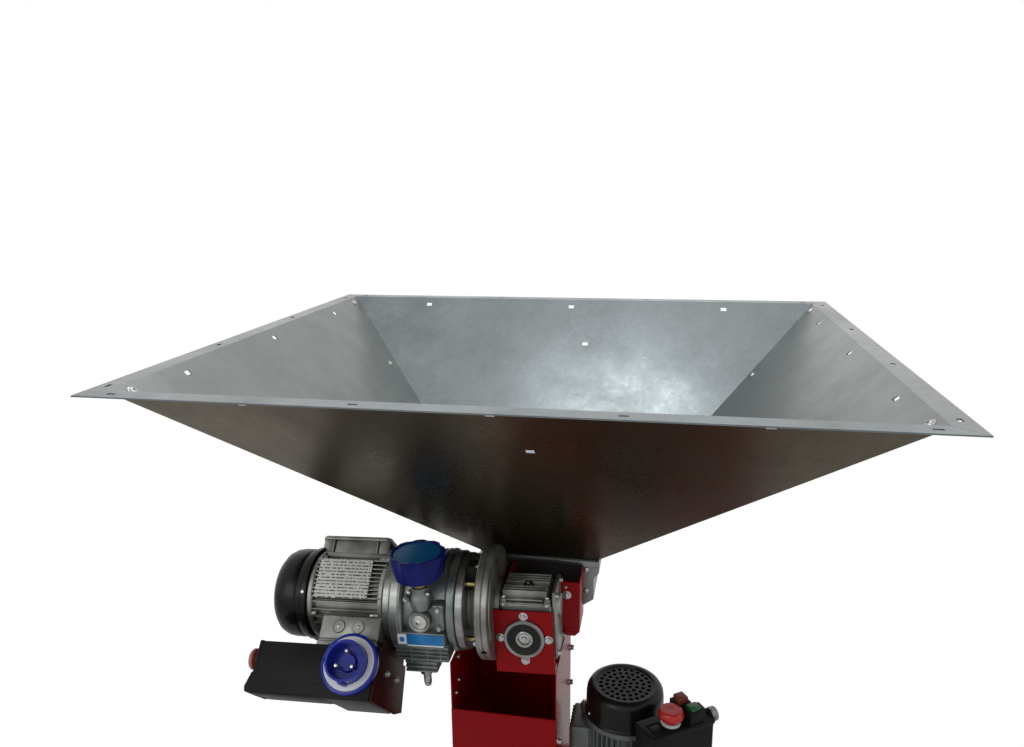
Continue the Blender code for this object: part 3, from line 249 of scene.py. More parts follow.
NAME_BLUE = finish("blue_name_plate", ((0.01, 0.13, 0.36), (0.02, 0.2, 0.48)), (0.24, 0.36),
                   metallic=0.1, patch=30.0, grain=400.0, bump=0.01, gloss=0.3)
GLASS_DISC = finish("oil_sight_glass", ((0.4, 0.41, 0.37), (0.62, 0.62, 0.57)),
                    (0.06, 0.14), metallic=0.2, patch=60.0, bump=0.0, coat=0.3)


# ---------------------------------------------------------------- shapes

SHARP_TURN = math.radians(34)        # edges that turn more than this shade as sharp

def soften(shape, width, segments=2, sharper=30.0):
    """Round every edge that turns more than sharper degrees."""
    edges = [edge for edge in shape.edges
             if len(edge.link_faces) == 2 and edge.calc_face_angle() > math.radians(sharper)]
    bmesh.ops.bevel(shape, geom=edges, offset=width, offset_type="OFFSET", segments=segments, profile=0.5,
                    affect="EDGES", clamp_overlap=True, material=-1)
    return shape


def moved(shape, place):
    """The shape, taken to the frame place."""
    bmesh.ops.transform(shape, matrix=place, verts=shape.verts)
    return shape


def spun(shape, angle, axis="Z"):
    """The shape, turned by an angle in degrees."""
    return moved(shape, Matrix.Rotation(math.radians(angle), 4, axis))


def block(x, y, z, rounded=0.0, segments=2):
    """A box between two values of each coordinate, its edges rounded."""
    shape = bmesh.new()
    bmesh.ops.create_cube(shape, size=1.0)
    size = Matrix.Diagonal((x[1] - x[0], y[1] - y[0], z[1] - z[0], 1.0))
    middle = Matrix.Translation((sum(x) / 2, sum(y) / 2, sum(z) / 2))
    moved(shape, middle @ size)
    return soften(shape, rounded, segments) if rounded else shape


def solid(low, high, rounded=0.0, segments=2):
    """A box from its lowest to its highest corner, its edges rounded."""
    return block(*zip(low, high), rounded, segments)


def pillar(axis, centre, span, radius, end_radius=None, sides=40, rounded=0.0):
    """A round bar or cone over span along an axis; centre is in the other two coordinates."""
    shape = bmesh.new()
    bmesh.ops.create_cone(shape, cap_ends=True, segments=sides, radius1=radius,
                          radius2=radius if end_radius is None else end_radius, depth=span[1] - span[0])
    if rounded:
        soften(shape, rounded, 2, 40.0)
    return moved(shape, LAID[axis] @ Matrix.Translation((*centre, sum(span) / 2)))


def turned(axis, centre, profile, steps=72, closed=True):
    """A profile of (radius, place along the axis), spun right round."""
    shape = bmesh.new()
    spots = [shape.verts.new((radius, 0.0, along)) for radius, along in profile]
    edges = [shape.edges.new(pair) for pair in zip(spots, spots[1:])]
    if closed:
        edges.append(shape.edges.new((spots[-1], spots[0])))
    bmesh.ops.spin(shape, geom=spots + edges, axis=(0.0, 0.0, 1.0), cent=(0.0, 0.0, 0.0),
                   angle=2 * math.pi, steps=steps, use_merge=True)
    bmesh.ops.remove_doubles(shape, verts=shape.verts, dist=0.000005)
    return moved(shape, LAID[axis] @ Matrix.Translation((*centre, 0.0)))


def outline(axis, points, span, rounded=0.0, segments=2):
    """A flat outline, extruded over span along an axis."""
    shape = bmesh.new()
    face = shape.faces.new([shape.verts.new((a, b, span[0])) for a, b in points])
    lifted = bmesh.ops.extrude_face_region(shape, geom=[face])["geom"]
    tops = [item for item in lifted if isinstance(item, bmesh.types.BMVert)]
    bmesh.ops.translate(shape, verts=tops, vec=(0.0, 0.0, span[1] - span[0]))
    bmesh.ops.recalc_face_normals(shape, faces=shape.faces)
    if rounded:
        soften(shape, rounded, segments)
    return moved(shape, LAID[axis])


def gathered(*shapes):
    """One shape out of several."""
    whole = bmesh.new()
    for shape in shapes:
        sheet = bpy.data.meshes.new("part")
        shape.to_mesh(sheet)
        whole.from_mesh(sheet)
        bpy.data.meshes.remove(sheet)
    return whole


def carved(body, *tools):
    """The body with the tools cut out of it."""
    holders = []
    for shape in (body, gathered(*tools)):
        bmesh.ops.recalc_face_normals(shape, faces=shape.faces)
        sheet = bpy.data.meshes.new("carving")
        shape.to_mesh(sheet)
        holder = bpy.data.objects.new("carving", sheet)
        bpy.context.scene.collection.objects.link(holder)
        holders.append(holder)
    step = holders[0].modifiers.new("carve", "BOOLEAN")
    step.operation = "DIFFERENCE"
    step.solver = "EXACT"
    step.use_self = True
    step.object = holders[1]
    graph = bpy.context.evaluated_depsgraph_get()
    result = bpy.data.meshes.new_from_object(holders[0].evaluated_get(graph))
    shape = bmesh.new()
    shape.from_mesh(result)
    for holder in holders:
        bpy.data.objects.remove(holder)
    bpy.data.meshes.remove(result)
    return shape


def hex_head(axis, centre, base, out, size=0.0065, height=0.0045):
    """A hexagon bolt with its washer; out is the side that it stands out to, -1 or 1."""
    def span(low, high):
        return tuple(sorted((base + out * low, base + out * high)))
    washer = pillar(axis, centre, span(-0.0005, 0.0012), size * 1.35, sides=24, rounded=0.0003)
    flange = pillar(axis, centre, span(0.001, 0.002), size * 1.08, sides=24)
    head = pillar(axis, centre, span(0.0015, 0.0015 + height), size, size * 0.96, 6, 0.0005)
    return gathered(washer, flange, head)


def dome_head(axis, centre, base, out, radius=0.006, height=0.0032):
    """A button-head screw with a hexagon socket."""
    tip = base + out * height
    profile = [(0.0, base - out * 0.0006), (radius, base - out * 0.0006), (radius, base + out * height * 0.3),
               (radius * 0.82, base + out * height * 0.78), (radius * 0.5, tip), (radius * 0.34, tip),
               (radius * 0.3, tip - out * height * 0.45), (0.0, tip - out * height * 0.45)]
    return turned(axis, centre, profile, 20, False)


def made(name, skin, *shapes, body="machine", place=WORLD, stands_for=()):
    """Join the shapes into one piece of this finish, riding on a body, that stands for some CAD nodes."""
    whole = gathered(*shapes)
    moved(whole, place)
    bmesh.ops.recalc_face_normals(whole, faces=whole.faces)
    sheet = bpy.data.meshes.new(name)
    whole.to_mesh(sheet)
    whole.free()
    sheet.shade_smooth()
    sheet.set_sharp_from_angle(angle=SHARP_TURN)
    sheet.materials.append(skin)
    piece = bpy.data.objects.new(name, sheet)
    bpy.context.scene.collection.objects.link(piece)
    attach(piece, body)
    if stands_for:
        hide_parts(*stands_for)
    return piece


def ring_of(count, radius, middle=MIDDLE, start=0.0):
    """Places on a circle."""
    return [(middle[0] + radius * math.cos(start + 2 * math.pi * step / count),
             middle[1] + radius * math.sin(start + 2 * math.pi * step / count)) for step in range(count)]


def recoat():
    """Give every CAD node that stays in view its real finish."""
    # The dark_red_paint slot takes the near-black red, which is painted shade.
    by_slot = {"galvanised_steel": ZINC_MAIN, "red_paint": RED, "dark_red_paint": SHADED_RED,
               "cast_aluminium": CAST, "grey_paint": CAST_GREY, "machined_steel": STEEL,
               "stainless_steel": STAINLESS, "black_plastic": BLACK, "blue_plastic": BLUE,
               "red_button": BUTTON_RED, "green_button": BUTTON_GREEN, "bronze": BRONZE}
    own = {"hopper_left": ZINC_SIDE, "hopper_right": ZINC_SIDE, "crusher_plate_front": ZINC_SIDE,
           "crusher_plate_back": ZINC_SIDE, "crusher_side_left": ZINC_SIDE, "crusher_side_right": ZINC_SIDE}
    for row in frame["record"]["subparts"]:
        skins = frame["nodes"][row["node"]].data.materials
        skins.clear()
        skins.append(own.get(row["node"], by_slot[row["material_slot"]]))


# ---------------------------------------------------------------- hopper

RIM_LOW, RIM_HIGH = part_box("hopper_front")
RIM_TOP = RIM_HIGH.z
RIM_HALF_X = RIM_HIGH.x
RIM_HALF_Y = -RIM_LOW.y
RIM_WIDTH = 0.03
NECK_X = (-0.094, 0.102)
NECK_Y = 0.045
NECK_TOP = 0.964
SHEET = 0.002
SEAM_BOLTS = (0.026, 0.321, 0.648)      # shares of the way down a corner seam


def wall_turn(side):
    """A frame on the inner face of the left (-1) or right (1) wall: X runs down it, Z stands off it."""
    top = Vector((side * (RIM_HALF_X - RIM_WIDTH), 0.0, RIM_TOP))
    low = Vector((NECK_X[0] if side < 0 else NECK_X[1], 0.0, NECK_TOP))
    down = (low - top).normalized()
    off = Vector((-side * -down.z, 0.0, -side * down.x)).normalized()
    if off.z < 0:
        off = -off
    place = Matrix((down, off.cross(down), off)).transposed().to_4x4()
    place.translation = top
    return place, (low - top).length


def hopper_fastenings():
    """Bolts through the corner seams, and rivets at the rim's corners."""
    half_top, half_low = RIM_HALF_Y - RIM_WIDTH, NECK_Y
    inset = 0.026
    for side, label in ((-1, "left"), (1, "right")):
        place, length = wall_turn(side)
        for end, where in ((-1, "front"), (1, "back")):
            heads, nuts = [], []
            for share in SEAM_BOLTS:
                half = half_top + (half_low - half_top) * share - inset
                spot = (length * share, end * half)
                heads.append(dome_head("Z", spot, 0.0002, 1, 0.0062, 0.0034))
                heads.append(pillar("Z", spot, (-0.0002, 0.0008), 0.008, sides=24, rounded=0.0002))
                nuts.append(hex_head("Z", spot, -SHEET - 0.0003, -1, 0.0055, 0.004))
            made("hopper_bolts_%s_%s" % (label, where), ZINC_BOLT, *heads, *nuts, place=place)
    corners = [dome_head("Z", (side_x * (RIM_HALF_X - 0.034), side_y * (RIM_HALF_Y - 0.012)),
                         RIM_TOP - 0.0018, 1, 0.0044, 0.0014) for side_x in (-1, 1) for side_y in (-1, 1)]
    made("rim_corner_rivets", ZINC_BOLT, *corners)


# ---------------------------------------------------------------- crusher box

ROLLER_Z = JOINTS["driven_roller_spin"]["pos_m"][2]
ROLLER_X = JOINTS["driven_roller_spin"]["pos_m"][0]
IDLE_X = JOINTS["idle_roller_spin"]["pos_m"][0]


def crusher_box():
    """Collar strip and screws on the box that holds the rollers."""
    low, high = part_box("crusher_plate_front")
    screws = []
    for x, z in ((0.084, 0.946), (-0.078, 0.946), (0.084, 0.905), (-0.12, 0.8), (0.02, 0.8)):
        for y, out in ((low.y, -1), (-low.y, 1)):
            screws.append(dome_head("Y", (x, z), y, out, 0.0048, 0.0026))
    made("crusher_screws", ZINC_BOLT, *screws)
    collar = [block((low.x + 0.004, high.x - 0.001), (y - 0.0012, y + 0.0012),
                    (high.z - 0.011, high.z - 0.0005), 0.0006) for y in (low.y - 0.0009, -low.y + 0.0009)]
    made("crusher_collar", ZINC_SIDE, *collar)


def fluted_roller(name, body, x, half, radius=0.038, flutes=22):
    """A ribbed roller: trapezium ribs that wind a little along its length."""
    points = []
    for rib in range(flutes):
        for share, ray in ((0.05, radius - 0.0045), (0.22, radius - 0.0004), (0.5, radius - 0.0004),
                           (0.67, radius - 0.0045)):
            angle = 2 * math.pi * (rib + share) / flutes
            points.append((ray * math.cos(angle), ray * math.sin(angle)))
    shape = bmesh.new()
    steps = 12
    face = shape.faces.new([shape.verts.new((a, b, -half)) for a, b in points])
    for step in range(steps):
        lifted = bmesh.ops.extrude_face_region(shape, geom=[face])["geom"]
        tops = [item for item in lifted if isinstance(item, bmesh.types.BMVert)]
        bmesh.ops.translate(shape, verts=tops, vec=(0.0, 0.0, 2 * half / steps))
        bmesh.ops.rotate(shape, verts=tops, cent=(0.0, 0.0, 0.0), matrix=Matrix.Rotation(0.016, 3, "Z"))
        if step:
            bmesh.ops.delete(shape, geom=[face], context="FACES_ONLY")
        face = [item for item in lifted if isinstance(item, bmesh.types.BMFace)][0]
    low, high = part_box(name)
    moved(shape, LAID["Y"])
    moved(shape, Matrix.Translation((x, 0.0, ROLLER_Z)))
    shaft = pillar("Y", (x, ROLLER_Z), (low.y, high.y), 0.009, sides=40, rounded=0.0008)
    rings = [pillar("Y", (x, ROLLER_Z), span, radius * 0.62, sides=40, rounded=0.0005)
             for span in ((-half - 0.0012, -half + 0.001), (half - 0.001, half + 0.0012))]
    made(name + "_ribbed", STAINLESS, shape, shaft, *rings, body=body, stands_for=(name,))


# ---------------------------------------------------------------- column

COLUMN_LOW, COLUMN_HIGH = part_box("column_shell")
PANEL_LOW, PANEL_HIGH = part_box("column_front_panel")


def column():
    """A folded shell with round bends, its front panel, side bolts and welds."""
    wall = 0.002
    bend = 0.0045
    x, y = (COLUMN_LOW.x, COLUMN_HIGH.x), (COLUMN_LOW.y, COLUMN_HIGH.y)
    shell = []
    for inset, back in ((0.0, False), (wall, True)):
        radius = max(bend - inset, 0.0008)
        left, right, rear = x[0] + inset, x[1] - inset, y[1] - inset
        run = [(left, y[0])]
        run += [(left + radius - radius * math.cos(a), rear - radius + radius * math.sin(a))
                for a in [math.pi / 2 * step / 5 for step in range(6)]]
        run += [(right - radius + radius * math.sin(a), rear - radius + radius * math.cos(a))
                for a in [math.pi / 2 * step / 5 for step in range(6)]]
        run += [(right, y[0])]
        shell += list(reversed(run)) if back else run
    made("column_folded_shell", RED, outline("Z", shell, (COLUMN_LOW.z, COLUMN_HIGH.z)),
         stands_for=("column_shell",))
    panel = solid(PANEL_LOW, PANEL_HIGH, 0.0008)
    hem = block((PANEL_LOW.x + 0.003, PANEL_HIGH.x - 0.003), (PANEL_HIGH.y - 0.0002, PANEL_HIGH.y + 0.0016),
                (PANEL_HIGH.z - 0.01, PANEL_HIGH.z - 0.0003), 0.0006)
    made("column_panel", RED, panel, hem, stands_for=("column_front_panel",))
    bolts = [hex_head("X", spot, COLUMN_HIGH.x, 1, 0.0056, 0.006)
             for spot in ((0.046, 0.728), (0.034, 0.66), (-0.136, 0.66))]
    bolts += [hex_head("X", (-0.1, z), COLUMN_LOW.x, -1, 0.005, 0.004) for z in (0.69, 0.735, 0.782)]
    inner = [dome_head("X", (y_place, z), COLUMN_LOW.x + wall, 1, 0.0044, 0.003)
             for y_place, z in ((-0.1, 0.782), (-0.1, 0.735), (-0.12, 0.722))]
    made("column_bolts", ZINC_BOLT, *bolts, *inner)
    foot = COLUMN_LOW.z + 0.001
    welds = [pillar("Z", (x_place, PANEL_HIGH.y + 0.0006), (PANEL_LOW.z + 0.004, PANEL_HIGH.z - 0.004),
                    0.0016, sides=12, rounded=0.0006) for x_place in (x[0] + 0.0012, x[1] - 0.0012)]
    runs = (("X", (y[0] + 0.0005, foot), (x[0] + 0.004, x[1] - 0.004)),
            ("X", (y[1] + 0.0006, foot), (x[0] + 0.006, x[1] - 0.006)),
            ("Y", (x[0] - 0.0004, foot), (y[0] + 0.006, y[1] - 0.006)),
            ("Y", (x[1] + 0.0004, foot), (y[0] + 0.006, y[1] - 0.006)))
    welds += [pillar(axis, spot, span, 0.0022, sides=12, rounded=0.0006) for axis, spot, span in runs]
    made("column_welds", RED, *welds)


# ---------------------------------------------------------------- worm gearbox

def gearbox():
    """Ribbed housing with corner bosses, filler plug, front cover, red plate, seal and hollow shaft."""
    low, high = reach("gearbox_housing", DRIVE)
    x, y, z = (low.x, high.x), (low.y, high.y), (low.z, high.z)
    body = block((x[0] + 0.0005, x[1] - 0.0005), (y[0] + 0.0005, y[1]), (z[0], 0.058), 0.0055, 3)
    neck = block((x[0] + 0.004, x[1] - 0.005), (y[0] + 0.006, y[1] - 0.004), (0.05, z[1] - 0.01), 0.004, 3)
    crown = block((x[0] + 0.007, x[1] - 0.009), (y[0] + 0.01, y[1] - 0.008), (z[1] - 0.012, z[1] - 0.006),
                  0.002)
    fins = [block((x[0] + 0.006, x[1] - 0.008), (place - 0.0016, place + 0.0016), (0.056, z[1] - 0.0015),
                  0.001) for place in (-0.0285, -0.0205, -0.0125, 0.0035, 0.0115, 0.0195, 0.0275)]
    shelves = [block((x[0] + 0.012, x[1] - 0.014), (y[0] - 0.0006, y[0] + 0.012), (place, place + 0.003),
                     0.001) for place in (0.0505, 0.057, 0.0635)]
    bosses = []
    for u in (x[0] + 0.007, x[1] - 0.008):
        for v in (y[0] + 0.007, y[1] - 0.007):
            bosses.append(pillar("Z", (u, v), (0.04, 0.066), 0.0065, sides=28, rounded=0.0012))
        bosses.append(pillar("Y", (u, 0.0565), (y[0] - 0.0006, y[0] + 0.012), 0.006, sides=28, rounded=0.001))
    seam = block((x[0] - 0.0004, x[1] + 0.0002), (y[0] + 0.004, y[1] - 0.004), (-0.002, 0.001), 0.0008)
    made("gearbox_casting", CAST, body, neck, crown, *fins, *shelves, *bosses, seam, place=DRIVE,
         stands_for=("gearbox_housing",))
    heads = [dome_head("Y", (u, 0.0565), y[0] - 0.0006, -1, 0.004, 0.0028)
             for u in (x[0] + 0.007, x[1] - 0.008)]
    heads += [dome_head("Z", (u, v), 0.066, 1, 0.0042, 0.003)
              for u in (x[0] + 0.007, x[1] - 0.008) for v in (y[0] + 0.007, y[1] - 0.007)]
    made("gearbox_screws", ZINC_BOLT, *heads, place=DRIVE)
    plug = [pillar("Z", (0.004, -0.0045), (z[1] - 0.007, z[1] - 0.0005), 0.0075, sides=6, rounded=0.0006),
            pillar("Z", (0.004, -0.0045), (z[1] - 0.008, z[1] - 0.0042), 0.0092, sides=32, rounded=0.0005)]
    made("gearbox_filler_plug", BLACK_GLOSS, *plug, place=DRIVE)
    made("gearbox_plug_vent", ZINC_BOLT, dome_head("Z", (0.004, -0.0045), z[1] - 0.0007, 1, 0.0034, 0.0016),
         place=DRIVE)
    front = reach("gearbox_plate", DRIVE)[0].y
    spots = ring_of(4, 0.0395, start=math.pi / 2)
    made("gearbox_plate_bolts", ZINC_BOLT, *[hex_head("Y", spot, front, -1, 0.0054, 0.0042)
                                             for spot in spots], place=DRIVE)
    boss = reach("gearbox_cover", DRIVE)[0].y
    ring = turned("Y", MIDDLE, [(0.0335, front + 0.001), (0.0335, boss + 0.0008), (0.0325, boss - 0.0004),
                                (0.03, boss - 0.0004), (0.029, boss + 0.0006), (0.029, boss + 0.004),
                                (0.028, front + 0.001)], 96)
    made("gearbox_seal_seat", CAST_BRIGHT, ring, place=DRIVE)
    seal = turned("Y", MIDDLE, [(0.0288, boss + 0.003), (0.0288, boss + 0.001), (0.0262, boss + 0.0004),
                                (0.0235, boss + 0.0016), (0.02, boss + 0.0022), (0.0168, boss + 0.001),
                                (0.0152, boss + 0.0012), (0.0152, boss + 0.003)], 72)
    made("gearbox_seal", RUBBER, seal, place=DRIVE)
    hub = reach("worm_wheel", DRIVE)[0].y
    collar = turned("Y", MIDDLE, [(0.0144, hub + 0.004), (0.0144, hub - 0.0008), (0.0136, hub - 0.0014),
                                  (0.01, hub - 0.0014), (0.0094, hub - 0.0006), (0.0094, hub + 0.004)], 60)
    made("hollow_shaft_end", STEEL, collar, body="driven_roller", place=DRIVE)
    key = block((-0.0025, 0.0025), (hub - 0.001, hub + 0.004), (0.007, 0.0112), 0.0004)
    washer = pillar("Y", MIDDLE, (hub + 0.001, hub + 0.003), 0.0092, sides=36, rounded=0.0004)
    socket = dome_head("Y", MIDDLE, hub + 0.0011, -1, 0.005, 0.003)
    made("roller_shaft_screw", ZINC_BOLT, key, washer, socket, body="driven_roller", place=DRIVE)
    end_low, end_high = reach("gearbox_end_cover", DRIVE)
    cover = solid(end_low, end_high, 0.0022, 3)
    dome = pillar("X", (0.0, WORM_OFFSET), (end_high.x - 0.001, end_high.x + 0.0045), 0.021, 0.018, 48,
                  0.0012)
    made("gearbox_end", CAST, cover, dome, place=DRIVE, stands_for=("gearbox_end_cover",))
    corners = [(y_place, z_place) for y_place in (end_low.y + 0.007, end_high.y - 0.007)
               for z_place in (end_low.z + 0.008, end_high.z - 0.008)]
    made("gearbox_end_screws", ZINC_BOLT, *[hex_head("X", spot, end_high.x, 1, 0.0042, 0.0032)
                                            for spot in corners], place=DRIVE)


def bracket():
    """Folded box that carries the gearbox, with its bolt and the two fold lines."""
    low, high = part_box("gearbox_bracket")
    top, cut, wall, narrower = high.z, 0.008, 0.003, 0.004
    high.x -= narrower
    face = [(low.x, low.z), (high.x - cut, low.z), (high.x, low.z + cut), (high.x, top), (low.x, top)]
    hollow = [(low.x + wall, low.z + wall), (high.x - cut, low.z + wall), (high.x - wall, low.z + cut),
              (high.x - wall, top + 0.01), (low.x + wall, top + 0.01)]
    folded = outline("Y", face, (low.y, high.y), 0.0012)
    inside = outline("Y", hollow, (low.y + wall, high.y + 0.01))
    made("gearbox_bracket_folded", RED, carved(folded, inside), stands_for=("gearbox_bracket",))
    bolt = (high.x - 0.022, top - 0.023)
    made("bracket_bolt", ZINC_BOLT, hex_head("Y", bolt, low.y, -1, 0.0056, 0.0048),
         dome_head("Y", (bolt[0] - 0.002, bolt[1] + 0.014), low.y, -1, 0.003, 0.002))
    folds = [pillar("X", (low.y + 0.0003, z), (high.x - 0.036, high.x - 0.0035), 0.0009, sides=10,
                    rounded=0.0004) for z in (low.z + 0.0085, low.z + 0.0155)]
    made("bracket_folds", RED, *folds)


# ---------------------------------------------------------------- coupling flanges

def flanges():
    """Two bolted discs, the hub behind them, the pale spacer ring and the studs between."""
    low, high = reach("input_flange", DRIVE)
    line = (0.0, WORM_OFFSET)
    radius, bore = 0.093, 0.0136
    neck, face, back = high.x, high.x - 0.0082, low.x
    disc = turned("X", line, [(0.036, neck), (0.036, face + 0.001), (0.0375, face), (0.07, face),
                              (0.0712, face - 0.0012), (0.085, face - 0.0012), (0.0862, face),
                              (radius - 0.0012, face), (radius, face - 0.0014), (radius, back + 0.0014),
                              (radius - 0.0012, back), (bore, back), (bore, neck)], 120)
    made("input_flange_disc", CAST, disc, place=DRIVE, stands_for=("input_flange",))
    low, high = reach("variator_flange", DRIVE)
    front, rear = high.x, high.x - 0.011
    ring_front, ring_back = low.x + 0.0142, low.x
    spacer = 0.079
    plate = turned("X", line, [(radius - 0.0012, front), (radius, front - 0.0014), (radius, rear + 0.0016),
                               (radius - 0.0016, rear), (0.06, rear), (0.056, rear - 0.003),
                               (0.048, rear - 0.006), (0.0455, ring_front + 0.004), (0.048, ring_front),
                               (bore, ring_front), (bore, front)], 120)
    made("variator_flange_disc", CAST, plate, place=DRIVE, stands_for=("variator_flange",))
    ring = turned("X", line, [(spacer - 0.0016, ring_front), (spacer, ring_front - 0.0018),
                              (spacer, ring_back + 0.0018), (spacer - 0.0016, ring_back), (bore, ring_back),
                              (bore, ring_front - 0.0003), (0.07, ring_front - 0.0003)], 120)
    made("variator_spacer", CAST_BRIGHT, ring, place=DRIVE)
    spots = ring_of(4, 0.0655, line, math.radians(38))
    studs = [pillar("X", spot, (ring_front - 0.001, rear + 0.001), 0.0045, sides=24) for spot in spots]
    nuts = [pillar("X", spot, (rear - 0.0065, rear), 0.0078, sides=6, rounded=0.0005) for spot in spots]
    made("variator_studs", YELLOW_ZINC, *studs, *nuts, place=DRIVE)
    rim = ring_of(4, 0.0835, line, math.radians(22))
    heads = [pillar("X", spot, (front - 0.003, front + 0.0006), 0.0052, sides=24, rounded=0.0006)
             for spot in rim]
    heads += [hex_head("X", spot, rear, -1, 0.005, 0.004) for spot in rim]
    made("flange_bolts", ZINC_BOLT, *heads, place=DRIVE)
    # A near-black block across the flange face: painted shade standing for the pry slot's hollow.
    slot = block((front - 0.004, front + 0.0052), (-0.0935, -0.09),
                 (WORM_OFFSET - 0.046, WORM_OFFSET - 0.036), 0.0006)
    made("flange_slot_painted_shade", HOLLOW_PAINTED_SHADE, moved(slot, Matrix.Translation((0.0, 0.0105, 0.0))), place=DRIVE)
    block_in = block((ring_front + 0.0006, rear - 0.0006), (-0.036, -0.01),
                     (WORM_OFFSET + 0.05, WORM_OFFSET + 0.08), 0.0015)
    made("flange_stop_block", BLACK, block_in, place=DRIVE)


# ---------------------------------------------------------------- variator

